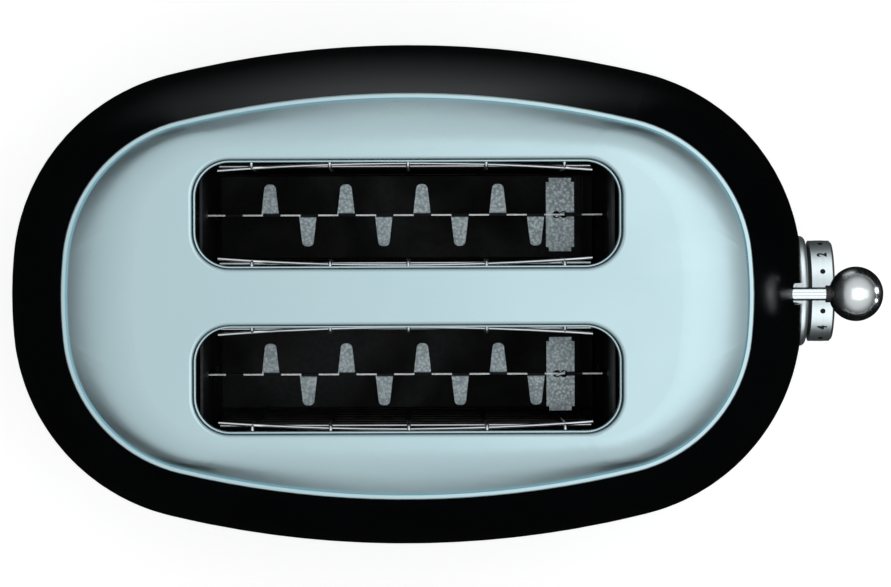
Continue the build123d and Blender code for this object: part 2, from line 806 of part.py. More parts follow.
# Bread carriers: a strip on edge with four tabs bent out to each side
spreader_length = 2 * (guard_offset - guard_wire / 2 - spreader_gap)
strip_x = (oven_rear - plate_sheet - strip_rear_reach, arm_x)
for side, name in ((1, "left"), (-1, "right")):
    y = side * slot_offset
    with BuildPart() as bread_carrier:
        strip_sides = (y - strip_sheet / 2, y + strip_sheet / 2)
        block(strip_x, strip_sides, (carrier_z - strip_height, carrier_z))
        for first_x, facing in ((tab_left_x, 1), (tab_right_x, -1)):
            for i in range(tab_count):
                x = first_x - i * guard_pitch
                tip_y = y + facing * (strip_sheet / 2 + tab_length)
                with BuildSketch(level(carrier_z - strip_sheet)) as tab:
                    with BuildLine():
                        Polyline(
                            (x - tab_root / 2, y),
                            (x + tab_root / 2, y),
                            (x + tab_tip / 2, tip_y),
                            (x - tab_tip / 2, tip_y),
                            close=True,
                        )
                    make_face()
                    tip_corners = tab.vertices().group_by(Axis.Y)[-1 if facing > 0 else 0]
                    fillet(tip_corners, radius=tab_corner)
                extrude(amount=strip_sheet)
        with BuildSketch(level(carrier_z)):
            with Locations((spreader_x, y)):
                Rectangle(twist_tab_length, strip_sheet, rotation=twist_tab_turn)
        extrude(amount=twist_tab_rise)
    bread_carrier.part.label = f"bread_carrier_{name}"
    export_step(bread_carrier.part, f"parts/bread_carrier_{name}.step")

    with BuildPart() as spreader_plate:
        with BuildSketch(level(carrier_z)):
            with Locations((spreader_x, y)):
                Rectangle(spreader_width, spreader_length)
                with Locations(
                    *[
                        (i * spreader_width / 2, j * spreader_length / 2)
                        for i in (1, -1)
                        for j in (1, -1)
                    ]
                ):
                    notch = (2 * spreader_notch_width, 2 * spreader_notch_length)
                    Rectangle(*notch, mode=Mode.SUBTRACT)
                Rectangle(2 * twist_hole_radius, twist_hole_width, mode=Mode.SUBTRACT)
                with Locations((twist_hole_radius, 0), (-twist_hole_radius, 0)):
                    Circle(twist_hole_radius, mode=Mode.SUBTRACT)
        extrude(amount=spreader_sheet)
    spreader_plate.part.label = f"spreader_plate_{name}"
    export_step(spreader_plate.part, f"parts/spreader_plate_{name}.step")

# Guide rod, the carriage that runs on it and its return spring
with BuildPart() as guide_rod:
    rod_upright(rod_x, 0, (floor_z, oven_top + rod_end), rod_radius)
guide_rod.part.label = "guide_rod"
export_step(guide_rod.part, "parts/guide_rod.step")

arm_z = (carrier_z - arm_height, carrier_z)
core_half = pole_width / 2 + winding_space + side_pole
with BuildPart() as carriage_bracket:
    arm_half = slot_offset + arm_margin
    block((arm_x, arm_x + arm_thickness), (-arm_half, arm_half), arm_z)
    block((arm_x, rod_x), (-web_half_width, web_half_width), arm_z)
    bushing_z = (bushing_base, bushing_base + bushing_height)
    rod_upright(rod_x, 0, bushing_z, bushing_radius)
    post_z = (arm_z[0], lever_z + post_top_rise)
    block((post_x, stem_x), (-web_half_width, web_half_width), post_z)
    block((post_x, stem_x), (0, magnet_y + core_half), (arm_z[0], arm_z[0] + lug_height))
    rod_upright(rod_x, 0, bushing_z, rod_radius + rod_clearance, mode=Mode.SUBTRACT)
carriage_bracket.part.label = "carriage_bracket"
export_step(carriage_bracket.part, "parts/carriage_bracket.step")

# The spring's turns are half circles that each climb half a pitch
spring_low = floor_z + rod_boss_height + spring_wire / 2
spring_high = bushing_base - spring_wire / 2
half_pitch = (spring_high - spring_low) / (2 * spring_turns)
bulge = hypot(spring_radius, half_pitch / 2)
with BuildPart() as return_spring:
    with BuildLine(level(0)) as spring_path:
        for i in range(2 * spring_turns):
            turn = 1 if i % 2 == 0 else -1
            low = spring_low + i * half_pitch
            ThreePointArc(
                (rod_x + turn * spring_radius, 0, low),
                (rod_x, turn * bulge, low + half_pitch / 2),
                (rod_x - turn * spring_radius, 0, low + half_pitch),
            )
    with BuildSketch(Plane(origin=spring_path.line @ 0, z_dir=spring_path.line % 0)):
        Circle(spring_wire / 2)
    sweep()
return_spring.part.label = "return_spring"
export_step(return_spring.part, "parts/return_spring.step")
print("spring: least gap between turns", round(2 * half_pitch - spring_wire, 2))

# Lever: the rod through the front of the body, its dark collar and the ball
ball_face = ball_x - sqrt(ball_radius**2 - collar_radius**2)
collar_x = (ball_face + collar_in_ball - collar_length, ball_face + collar_in_ball)
stem_end = ball_x - stem_in_ball
with BuildPart() as lever_stem:
    rod_along_x((stem_x, stem_end), 0, lever_z, stem_radius)
lever_stem.part.label = "lever_stem"
export_step(lever_stem.part, "parts/lever_stem.step")

with BuildPart() as lever_collar:
    rod_along_x(collar_x, 0, lever_z, collar_radius)
    rod_along_x(collar_x, 0, lever_z, stem_radius + stem_fit, mode=Mode.SUBTRACT)
lever_collar.part.label = "lever_collar"
export_step(lever_collar.part, "parts/lever_collar.step")

with BuildPart(level(lever_z)) as lever_ball:
    with Locations((ball_x, 0, 0)):
        Sphere(ball_radius)
    behind_ball = ball_x - 2 * ball_radius
    rod_along_x((behind_ball, collar_x[1]), 0, lever_z, collar_radius, mode=Mode.SUBTRACT)
    rod_along_x((behind_ball, stem_end), 0, lever_z, stem_radius + stem_fit, mode=Mode.SUBTRACT)
lever_ball.part.label = "lever_ball"
export_step(lever_ball.part, "parts/lever_ball.step")

# Holding magnet on the base and the armature plate under the carriage
magnet_x = stem_x
armature_z = (arm_z[0] - armature_sheet, arm_z[0])
core_top = armature_z[0] - lever_travel - magnet_gap
core_sides = (magnet_y - core_half, magnet_y + core_half)
with BuildPart() as armature_plate:
    armature_x = (magnet_x - armature_length / 2, magnet_x + armature_length / 2)
    block(armature_x, core_sides, armature_z)
armature_plate.part.label = "armature_plate"
export_step(armature_plate.part, "parts/armature_plate.step")

core_x = (magnet_x - core_depth / 2, magnet_x + core_depth / 2)
pole_sides = (magnet_y - pole_width / 2, magnet_y + pole_width / 2)
winding_z = (floor_z + yoke_height, core_top)
with BuildPart() as electromagnet_core:
    block(core_x, core_sides, (floor_z, core_top))
    window_sides = (core_sides[0] + side_pole, core_sides[1] - side_pole)
    block(core_x, window_sides, winding_z, mode=Mode.SUBTRACT)
    block(core_x, pole_sides, winding_z)
electromagnet_core.part.label = "electromagnet_core"
export_step(electromagnet_core.part, "parts/electromagnet_core.step")

with BuildPart() as electromagnet_coil:
    coil_z = (winding_z[0], winding_z[1] - coil_top_gap)
    coil_x = (core_x[0] - coil_wall, core_x[1] + coil_wall)
    coil_sides = (window_sides[0] + coil_end_gap, window_sides[1] - coil_end_gap)
    block(coil_x, coil_sides, coil_z)
    fillet(electromagnet_coil.edges().filter_by(Axis.Z), radius=coil_wall / 2)
    block(core_x, pole_sides, coil_z, mode=Mode.SUBTRACT)
electromagnet_coil.part.label = "electromagnet_coil"
export_step(electromagnet_coil.part, "parts/electromagnet_coil.step")

# Control bracket behind the front of the body, and the board on its back
pcb_z = (floor_z + pcb_lift, floor_z + bracket_wide_height - pcb_margin)
standoff_spots = [
    (turn * (bracket_half_width - standoff_inset), z)
    for turn in (1, -1)
    for z in (pcb_z[0] + standoff_inset, pcb_z[1] - standoff_inset)
]
with BuildPart() as control_bracket:
    bracket_plate = (bracket_x - bracket_sheet, bracket_x)
    bracket_sides = (-bracket_half_width, bracket_half_width)
    block(bracket_plate, bracket_sides, (floor_z, floor_z + bracket_wide_height))
    neck_sides = (-bracket_neck_half_width, bracket_neck_half_width)
    block(bracket_plate, neck_sides, (floor_z, slot_high + bracket_neck_spare))
    foot_range = (bracket_x - bracket_sheet - bracket_foot, bracket_x)
    block(foot_range, bracket_sides, (floor_z, floor_z + bracket_sheet))
    for y, z in standoff_spots:
        rod_along_x((pcb_x + pcb_sheet, bracket_x), y, z, standoff_radius)
    with BuildSketch(cross(bracket_plate[0])):
        with Locations((0, (slot_low + slot_high) / 2)):
            SlotOverall(slot_high - slot_low, bracket_slot_width, rotation=90)
    extrude(amount=bracket_sheet, mode=Mode.SUBTRACT)
    for y, z in standoff_spots:
        rod_along_x((pcb_x, bracket_x), y, z, shell_screw_radius, mode=Mode.SUBTRACT)
    for x, y in chassis_screw_spots:
        rod_upright(x, y, (floor_z, floor_z + bracket_sheet), screw_radius, mode=Mode.SUBTRACT)
control_bracket.part.label = "control_bracket"
export_step(control_bracket.part, "parts/control_bracket.step")

with BuildPart() as control_board:
    pcb_half = bracket_half_width - pcb_margin
    block((pcb_x, pcb_x + pcb_sheet), (-pcb_half, pcb_half), pcb_z)
    for y, z in standoff_spots:
        rod_along_x((pcb_x, pcb_x + pcb_sheet), y, z, shell_screw_radius, mode=Mode.SUBTRACT)
control_board.part.label = "control_board"
export_step(control_board.part, "parts/control_board.step")

relay_y = -pcb_half + component_margin
connector_y = pcb_half / 2
connector_z = (pcb_z[1] - standoff_inset - connector_size[2], pcb_z[1] - standoff_inset)
with BuildPart() as board_components:
    relay_z = pcb_z[0] + 2 * standoff_inset
    block(
        (pcb_x - relay_size[0], pcb_x),
        (relay_y, relay_y + relay_size[1]),
        (relay_z, relay_z + relay_size[2]),
    )
    capacitor_z = relay_z + relay_size[2] + 2 * capacitor_radius
    capacitor_y = relay_y + relay_size[1] / 2
    rod_along_x((pcb_x - capacitor_length, pcb_x), capacitor_y, capacitor_z, capacitor_radius)
    connector_sides = (connector_y - connector_size[1] / 2, connector_y + connector_size[1] / 2)
    block((pcb_x - connector_size[0], pcb_x), connector_sides, connector_z)
board_components.part.label = "board_components"
export_step(board_components.part, "parts/board_components.step")

# Browning dial: turned pieces about an axis along the toaster
dial_axis = Axis((body_x, 0, dial_z), (1, 0, 0))


def turned(*points):
    """A solid of revolution about the dial's axis, from (x, radius) points."""
    with BuildSketch(lengthwise(0)) as profile:
        with BuildLine():
            Polyline(*[(x, dial_z + radius) for x, radius in points], close=True)
        make_face()
    revolve(profile.sketch, axis=dial_axis)


bezel_front = half_length + bezel_stand_out
ring_x = (bezel_front + ring_gap, bezel_front + ring_gap + ring_length)
ring_seat = ring_x[1] - ring_lip
hub_front = ring_x[1] - hub_recess
with BuildPart() as dial_bezel:
    turned(
        (bracket_x, bezel_radius),
        (bezel_front, bezel_radius),
        (bezel_front, bezel_bore),
        (bezel_front - bezel_lip, bezel_bore),
        (bezel_front - bezel_lip, bezel_radius - bezel_wall),
        (bracket_x, bezel_radius - bezel_wall),
    )
    bezel_face = dial_bezel.faces().sort_by(Axis.X)[-1]
    fillet(bezel_face.outer_wire().edges(), radius=bezel_round)
dial_bezel.part.label = "dial_bezel"
export_step(dial_bezel.part, "parts/dial_bezel.step")

with BuildPart() as dial_ring:
    turned(
        (ring_x[0], sleeve_radius),
        (ring_x[0], ring_radius),
        (ring_x[1] - ring_bevel, ring_radius),
        (ring_x[1], ring_radius - ring_bevel),
        (ring_x[1], ring_lip_bore),
        (ring_seat, ring_lip_bore),
        (ring_seat, sleeve_radius),
    )
dial_ring.part.label = "dial_ring"
export_step(dial_ring.part, "parts/dial_ring.step")

sleeve_x = bracket_x + sleeve_start
with BuildPart() as dial_sleeve:
    turned(
        (sleeve_x, hub_radius + hub_clearance),
        (sleeve_x, sleeve_radius),
        (ring_seat, sleeve_radius),
        (ring_seat, hub_radius + hub_clearance),
    )
dial_sleeve.part.label = "dial_sleeve"
export_step(dial_sleeve.part, "parts/dial_sleeve.step")

with BuildPart() as dial_wiper:
    wiper_x = bracket_x + track_sheet + wiper_gap
    turned(
        (wiper_x, sleeve_radius - wiper_width),
        (wiper_x, sleeve_radius),
        (sleeve_x, sleeve_radius),
        (sleeve_x, sleeve_radius - wiper_width),
    )
dial_wiper.part.label = "dial_wiper"
export_step(dial_wiper.part, "parts/dial_wiper.step")

with BuildPart() as dial_track:
    turned(
        (bracket_x, hub_radius),
        (bracket_x, hub_radius + track_width),
        (bracket_x + track_sheet, hub_radius + track_width),
        (bracket_x + track_sheet, hub_radius),
    )
dial_track.part.label = "dial_track"
export_step(dial_track.part, "parts/dial_track.step")

# Fixed hub with a round hole for each button
button_spots = {"reheat": 90.0, "defrost": 210.0, "cancel": 330.0}
hub_bore = hub_radius - hub_wall


def button_place(angle):
    """Centre of a button across the hub, as (y, z)."""
    return button_circle * cos(radians(angle)), dial_z + button_circle * sin(radians(angle))


with BuildPart() as dial_hub:
    turned(
        (bracket_x, hub_bore),
        (bracket_x, hub_radius),
        (hub_front, hub_radius),
        (hub_front, 0),
        (hub_front - hub_face, 0),
        (hub_front - hub_face, hub_bore),
    )
    for angle in button_spots.values():
        y, z = button_place(angle)
        hole = button_radius + button_gap
        rod_along_x((hub_front - hub_face, hub_front), y, z, hole, mode=Mode.SUBTRACT)
dial_hub.part.label = "dial_hub"
export_step(dial_hub.part, "parts/dial_hub.step")

skirt_x = (hub_front - hub_face - button_skirt, hub_front - hub_face)
button_stem_x = skirt_x[0] - button_stem_length
switch_x = button_stem_x - switch_gap - switch_height
for name, angle in button_spots.items():
    y, z = button_place(angle)
    with BuildPart() as button:
        rod_along_x((skirt_x[0], hub_front + button_proud), y, z, button_radius)
        rod_along_x(skirt_x, y, z, button_radius + button_skirt)
        rod_along_x((button_stem_x, skirt_x[0]), y, z, button_radius / 2)
        button_face = button.faces().sort_by(Axis.X)[-1]
        fillet(button_face.edges(), radius=button_proud / 2)
    button.part.label = f"{name}_button"
    export_step(button.part, f"parts/{name}_button.step")

with BuildPart() as button_board:
    turned((switch_x - pcb_sheet, 0), (switch_x - pcb_sheet, hub_bore), (switch_x, hub_bore), (switch_x, 0))
    for angle in button_spots.values():
        y, z = button_place(angle)
        switch_sides = (y - switch_size / 2, y + switch_size / 2)
        switch_z = (z - switch_size / 2, z + switch_size / 2)
        block((switch_x, switch_x + switch_height), switch_sides, switch_z)
button_board.part.label = "button_board"
export_step(button_board.part, "parts/button_board.step")

# Mains terminals on the rear end plate, the wires to the front and the cord's gland
terminal_x = (oven_rear - plate_sheet - terminal_size[0], oven_rear - plate_sheet)
terminal_z = (floor_z + terminal_height, floor_z + terminal_height + terminal_size[2])
terminal_half = terminal_size[1] / 2
with BuildPart() as terminal_block:
    block(terminal_x, (-terminal_half, terminal_half), terminal_z)
    for place in (-1, 0, 1):
        y = place * terminal_pitch
        z = (terminal_z[0] + terminal_z[1]) / 2
        entry = (terminal_x[0], terminal_x[1] - plate_sheet)
        rod_along_x(entry, y, z, terminal_hole_radius, mode=Mode.SUBTRACT)
terminal_block.part.label = "terminal_block"
export_step(terminal_block.part, "parts/terminal_block.step")

wire_y = panel_y + panel_sheet + wire_side_gap
wire_start_x = (terminal_x[0] + terminal_x[1]) / 2
wire_end_x = pcb_x - connector_size[0] / 2
with BuildPart() as wiring:
    for place in (-1, 1):
        start_z = (terminal_z[0] + terminal_z[1]) / 2 + place * wire_spacing / 2
        end_z = (connector_z[0] + connector_z[1]) / 2 + place * wire_spacing / 2
        with BuildLine(level(0)) as wire_path:
            FilletPolyline(
                (wire_start_x, terminal_half, start_z),
                (wire_start_x, wire_y, start_z),
                (rod_x, wire_y, start_z),
                (wire_end_x, wire_turn_y, end_z),
                (wire_end_x, connector_sides[1], end_z),
                radius=wire_bend,
            )
        with BuildSketch(Plane(origin=wire_path.line @ 0, z_dir=wire_path.line % 0)):
            Circle(wire_radius)
        sweep()
wiring.part.label = "wiring"
export_step(wiring.part, "parts/wiring.step")

with BuildPart() as cord_gland:
    gland_low = foot_height - gland_flange_height
    rod_upright(gland_x, gland_y, (gland_low, foot_height), gland_flange)
    rod_upright(gland_x, gland_y, (foot_height, gland_low + gland_length), gland_radius)
    rod_upright(gland_x, gland_y, (floor_z, floor_z + gland_flange_height), gland_flange)
    gland_hole = (gland_low, gland_low + gland_length)
    rod_upright(gland_x, gland_y, gland_hole, gland_bore, mode=Mode.SUBTRACT)
cord_gland.part.label = "cord_gland"
export_step(cord_gland.part, "parts/cord_gland.step")

# Screws
with BuildPart() as chassis_screws:
    for x, y in chassis_screw_spots:
        seat = floor_z + (bracket_sheet if x > rod_x else plate_sheet)
        rod_upright(x, y, (foot_height, seat), screw_radius)
        rod_upright(x, y, (seat, seat + screw_head_height), screw_head_radius)
chassis_screws.part.label = "chassis_screws"
export_step(chassis_screws.part, "parts/chassis_screws.step")

with BuildPart() as shell_screws:
    for x, y in shell_screw_spots:
        rod_upright(x, y, (foot_height, hem_z[1] + shell_screw_end), shell_screw_radius)
        rod_upright(x, y, (foot_height - screw_head_height, foot_height), screw_head_radius)
shell_screws.part.label = "shell_screws"
export_step(shell_screws.part, "parts/shell_screws.step")

with BuildPart() as board_screws:
    for y, z in standoff_spots:
        rod_along_x((pcb_x, bracket_x), y, z, shell_screw_radius)
        rod_along_x((pcb_x - screw_head_height, pcb_x), y, z, screw_head_radius)
board_screws.part.label = "board_screws"
export_step(board_screws.part, "parts/board_screws.step")

size = (2 * half_length, 2 * half_width, top_z)
print("body", [round(value, 1) for value in size], "lever travel", round(lever_travel, 1))
print("body_x", round(body_x, 2), "dial_z", dial_z, "guard pivot", guard_pivot_z)
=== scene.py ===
import json
from math import cos, pi, radians, sin

import bmesh
import bpy
from mathutils import Matrix, Vector


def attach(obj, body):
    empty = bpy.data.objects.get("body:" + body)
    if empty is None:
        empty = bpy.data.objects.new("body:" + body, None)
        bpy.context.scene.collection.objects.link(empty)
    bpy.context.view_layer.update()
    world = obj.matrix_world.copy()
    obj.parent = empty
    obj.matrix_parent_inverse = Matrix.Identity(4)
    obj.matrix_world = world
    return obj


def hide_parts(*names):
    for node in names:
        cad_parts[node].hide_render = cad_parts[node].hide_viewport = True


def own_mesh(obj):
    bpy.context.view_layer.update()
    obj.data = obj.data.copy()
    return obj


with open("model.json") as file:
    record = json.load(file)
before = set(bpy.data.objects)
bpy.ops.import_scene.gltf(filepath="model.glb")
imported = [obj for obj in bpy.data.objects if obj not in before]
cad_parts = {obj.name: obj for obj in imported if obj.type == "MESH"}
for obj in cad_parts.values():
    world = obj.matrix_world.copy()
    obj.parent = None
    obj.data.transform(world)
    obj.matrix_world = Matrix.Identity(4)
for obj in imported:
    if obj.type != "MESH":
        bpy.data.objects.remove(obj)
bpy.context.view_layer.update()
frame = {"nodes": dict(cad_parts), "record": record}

# Metres. The toaster stands on z = 0 with its lever end towards +X and its body's middle at BODY_X
MM = 0.001
BODY_X = -13.45 * MM

# Camera over the toaster, as in the photograph
CAMERA_AT = Vector((BODY_X, 19.2 * MM, 1738 * MM))
CAMERA_TARGET = Vector((1.4 * MM, -0.1 * MM, 92 * MM))
CAMERA_LENS = 169.7
CAMERA_SENSOR = 36.0
CAMERA_ROLL = 0.0035
CAMERA_REACH = 50.0

# Dial: its axis, the ring that carries the numbers, and the numbers and dots printed on it
DIAL_Z = 52 * MM
RING_RADIUS = 20.15 * MM
RING_REAR_X = BODY_X + 160.7 * MM
NUMBER_X = RING_REAR_X + 4.3 * MM
NUMBER_STEP = radians(46)
NUMBER_AT_TOP = 3
NUMBER_COUNT = 6
NUMBER_HEIGHT = 5.2 * MM
NUMBER_NARROWING = 0.78
NUMBER_BOLDNESS = 0.2 * MM
DOT_RADIUS = 1.05 * MM
DOT_SIDES = 24
PRINT_LIFT = 0.05 * MM
PRINT_DEPTH = 0.04 * MM
PRINT_STEP = 0.25 * MM

# Bread carriers: where the tabs bend from the strip on edge, for the painted shade at each bend and the
# painted highlight on the strip
TAB_X = 34.6 * MM
TAB_PITCH = 14.4 * MM
TAB_HALF_ROOT = 3.2 * MM
STRIP_Y = 30.4 * MM
STRIP_HALF_SHEET = 0.32 * MM
BEND_FROM = 0.5 * MM
BEND_TO = 1.2 * MM
BEND_SOFTNESS = 0.3 * MM

# Heights between which the guards' wires turn from oxide and painted shade to bright
BRIGHT_WIRE_FROM = 158 * MM
BRIGHT_WIRE_TO = 168 * MM

# Return spring, drawn as a smooth wire at one fixed length
SPRING_X = BODY_X + 100 * MM
SPRING_LOW = 12.5 * MM
SPRING_HIGH = 117.5 * MM
SPRING_RADIUS = 5 * MM
SPRING_WIRE = 0.5 * MM
SPRING_TURNS = 20
SPRING_STEPS = 24

# Wear: what scorching and handling add to roughness, how dark streaks and grain are, and the dust
SCORCH_ROUGHENING = 0.15
HANDLING_ROUGHENING = 0.12
STREAK_SHADE = 0.6
GRAIN_SHADE = 0.75
CRUMB_DUST = (0.05, 0.045, 0.04)


# Node helpers
def add_node(tree, kind, settings=None, inputs=None):
    """A node with its properties and its unlinked inputs set."""
    node = tree.nodes.new(kind)
    for name, value in (settings or {}).items():
        setattr(node, name, value)
    for name, value in (inputs or {}).items():
        node.inputs[name].default_value = value
    return node


def math_node(tree, operation, first, second=None, clamp=False):
    """A Math node whose two values are numbers or sockets."""
    node = add_node(tree, "ShaderNodeMath", {"operation": operation, "use_clamp": clamp})
    for index, value in enumerate((first, second)):
        if value is None:
            continue
        if isinstance(value, (int, float)):
            node.inputs[index].default_value = value
        else:
            tree.links.new(value, node.inputs[index])
    return node.outputs[0]


def spread(tree, value, low, high):
    """A value from 0 to 1 stretched to run from low to high."""
    node = add_node(tree, "ShaderNodeMapRange", inputs={"To Min": low, "To Max": high})
    tree.links.new(value, node.inputs["Value"])
    return node.outputs["Result"]


def contrast(tree, value, low, high):
    """A value that is 0 below low and 1 above high."""
    node = add_node(
        tree,
        "ShaderNodeMapRange",
        {"interpolation_type": "SMOOTHSTEP"},
        {"From Min": low, "From Max": high},
    )
    tree.links.new(value, node.inputs["Value"])
    return node.outputs["Result"]


def mix_colours(tree, share, first, second):
    """Two colours mixed by a share, each a tuple or a socket."""
    node = add_node(tree, "ShaderNodeMix", {"data_type": "RGBA"})
    tree.links.new(share, node.inputs["Factor"])
    for name, value in (("A", first), ("B", second)):
        socket = next(s for s in node.inputs if s.name == name and s.type == "RGBA")
        if isinstance(value, tuple):
            socket.default_value = (*value, 1)
        else:
            tree.links.new(value, socket)
    return next(s for s in node.outputs if s.type == "RGBA")


def shade(colour, share):
    """A colour darkened to a share of itself."""
    return tuple(value * share for value in colour)


def own_place(tree):
    """Where a point lies in its piece's own frame, in metres."""
    return add_node(tree, "ShaderNodeTexCoord").outputs["Object"]


def split_axes(tree, vector):
    """The X, Y and Z of a vector, as sockets."""
    split = add_node(tree, "ShaderNodeSeparateXYZ")
    tree.links.new(vector, split.inputs[0])
    return split.outputs


def new_group(name, inputs, outputs):
    """An empty shader node group: each input is a value, or a vector where its default is a tuple."""
    group = bpy.data.node_groups.new(name, "ShaderNodeTree")
    for socket_name, value in inputs.items():
        kind = "NodeSocketVector" if isinstance(value, tuple) else "NodeSocketFloat"
        socket = group.interface.new_socket(socket_name, in_out="INPUT", socket_type=kind)
        socket.default_value = value
    for socket_name in outputs:
        group.interface.new_socket(socket_name, in_out="OUTPUT", socket_type="NodeSocketFloat")
    return group, group.nodes.new("NodeGroupInput"), group.nodes.new("NodeGroupOutput")


def place_group(tree, group, **inputs):
    """A copy of a shared effect in a material, with its own values."""
    node = add_node(tree, "ShaderNodeGroup", {"node_tree": group})
    for name, value in inputs.items():
        node.inputs[name.replace("_", " ").capitalize()].default_value = value
    return node


# Shared effects
def make_speckle():
    """Fine spots of two sizes, for sand-blasted, cast and moulded surfaces."""
    group, given, out = new_group("speckle", {"Scale": 1500.0, "Sharpness": 0.3}, ["Mask", "Height"])
    place = own_place(group)
    fine = add_node(group, "ShaderNodeTexNoise", inputs={"Detail": 3.0, "Roughness": 0.7})
    coarse = add_node(group, "ShaderNodeTexVoronoi", {"feature": "F1"})
    coarse_scale = math_node(group, "MULTIPLY", given.outputs["Scale"], 0.6)
    group.links.new(place, fine.inputs["Vector"])
    group.links.new(place, coarse.inputs["Vector"])
    group.links.new(given.outputs["Scale"], fine.inputs["Scale"])
    group.links.new(coarse_scale, coarse.inputs["Scale"])
    both = math_node(group, "MULTIPLY", fine.outputs["Fac"], coarse.outputs["Distance"])
    both = math_node(group, "MULTIPLY", both, 2.2, clamp=True)
    low = math_node(group, "SUBTRACT", 0.5, given.outputs["Sharpness"])
    above = math_node(group, "SUBTRACT", both, low)
    group.links.new(math_node(group, "MULTIPLY", above, 1.6, clamp=True), out.inputs["Mask"])
    group.links.new(both, out.inputs["Height"])
    return group


def make_smudges():
    """Broad faint handling marks, with finer ones inside them."""
    group, given, out = new_group("smudges", {"Scale": 18.0}, ["Mask"])
    broad = add_node(
        group,
        "ShaderNodeTexNoise",
        inputs={"Detail": 5.0, "Roughness": 0.55, "Distortion": 0.6},
    )
    group.links.new(own_place(group), broad.inputs["Vector"])
    group.links.new(given.outputs["Scale"], broad.inputs["Scale"])
    group.links.new(contrast(group, broad.outputs["Fac"], 0.35, 0.7), out.inputs["Mask"])
    return group


def make_brushing():
    """Fine lines drawn out along one direction, which the stretch sets."""
    group, given, out = new_group("brushing", {"Stretch": (40.0, 4000.0, 4000.0)}, ["Lines", "Streaks"])
    stretched = add_node(group, "ShaderNodeVectorMath", {"operation": "MULTIPLY"})
    group.links.new(own_place(group), stretched.inputs[0])
    group.links.new(given.outputs["Stretch"], stretched.inputs[1])
    lines = add_node(
        group,
        "ShaderNodeTexNoise",
        inputs={"Scale": 1.0, "Detail": 3.0, "Roughness": 0.65},
    )
    group.links.new(stretched.outputs[0], lines.inputs["Vector"])
    streaks = add_node(
        group,
        "ShaderNodeTexNoise",
        inputs={"Scale": 0.12, "Detail": 2.0, "Roughness": 0.5},
    )
    group.links.new(stretched.outputs[0], streaks.inputs["Vector"])
    group.links.new(lines.outputs["Fac"], out.inputs["Lines"])
    group.links.new(contrast(group, streaks.outputs["Fac"], 0.3, 0.7), out.inputs["Streaks"])
    return group


def make_settled_dust():
    """Dust and scorch that lie on what faces up, in patches."""
    group, given, out = new_group("settled_dust", {"Scale": 60.0, "Amount": 0.5}, ["Mask"])
    surface = add_node(group, "ShaderNodeNewGeometry")
    facing = split_axes(group, surface.outputs["Normal"])
    patches = add_node(group, "ShaderNodeTexNoise", inputs={"Detail": 6.0, "Roughness": 0.65})
    group.links.new(own_place(group), patches.inputs["Vector"])
    group.links.new(given.outputs["Scale"], patches.inputs["Scale"])
    facing_up = contrast(group, facing["Z"], 0.2, 0.9)
    patchy = contrast(group, patches.outputs["Fac"], 0.45, 0.7)
    both = math_node(group, "MULTIPLY", facing_up, patchy)
    settled = math_node(group, "MULTIPLY", both, given.outputs["Amount"], clamp=True)
    group.links.new(settled, out.inputs["Mask"])
    return group


SPECKLE = make_speckle()
SMUDGES = make_smudges()
BRUSHING = make_brushing()
SETTLED_DUST = make_settled_dust()


def empty_material(name):
    """A material with an empty tree but for its output node."""
    material = bpy.data.materials.new(name)
    material.use_nodes = True
    tree = material.node_tree
    tree.nodes.clear()
    return material, tree, add_node(tree, "ShaderNodeOutputMaterial")


def new_material(name, metallic=0.0, **constants):
    """A material with a Principled shader, whose constants are set here."""
    material, tree, output = empty_material(name)
    shader = add_node(tree, "ShaderNodeBsdfPrincipled", inputs={"Metallic": metallic})
    for socket, value in constants.items():
        shader.inputs[socket.replace("_", " ")].default_value = value
    tree.links.new(shader.outputs[0], output.inputs["Surface"])
    return material, tree, shader


def add_bump(tree, shader, height, strength, depth):
    """A bump in the shader's normal, from a height of 0 to 1 that spans a depth in metres."""
    bump = add_node(tree, "ShaderNodeBump", inputs={"Strength": strength, "Distance": depth})
    tree.links.new(height, bump.inputs["Height"])
    tree.links.new(bump.outputs["Normal"], shader.inputs["Normal"])


def smudged_metal(name, colour, dull, roughness, rougher, smudge_scale=18.0):
    """Polished or plated metal: its colour and gloss vary with faint handling marks."""
    material, tree, shader = new_material(name, metallic=1.0)
    smudges = place_group(tree, SMUDGES, scale=smudge_scale)
    mask = smudges.outputs["Mask"]
    tree.links.new(mix_colours(tree, mask, colour, dull), shader.inputs["Base Color"])
    tree.links.new(spread(tree, mask, roughness, rougher), shader.inputs["Roughness"])
    speckle = place_group(tree, SPECKLE, scale=2600.0, sharpness=0.3)
    add_bump(tree, shader, speckle.outputs["Height"], strength=0.02, depth=0.00002)
    return material


def brushed_metal(name, colour, dull, roughness, rougher, stretch, line_depth, line_tone=0.06):
    """Brushed metal: drawn lines carry the bump and a faint tone, smudges the gloss."""
    material, tree, shader = new_material(name, metallic=1.0)
    brushing = place_group(tree, BRUSHING, stretch=stretch)
    smudges = place_group(tree, SMUDGES, scale=14.0)
    lines = brushing.outputs["Lines"]
    toned = mix_colours(tree, brushing.outputs["Streaks"], colour, dull)
    darker = shade(colour, 1 - line_tone * 2)
    toned = mix_colours(tree, spread(tree, lines, 0.0, 0.5), toned, darker)
    tree.links.new(toned, shader.inputs["Base Color"])
    gloss = spread(tree, smudges.outputs["Mask"], roughness, rougher)
    tree.links.new(gloss, shader.inputs["Roughness"])
    add_bump(tree, shader, lines, strength=0.25, depth=line_depth)
    return material


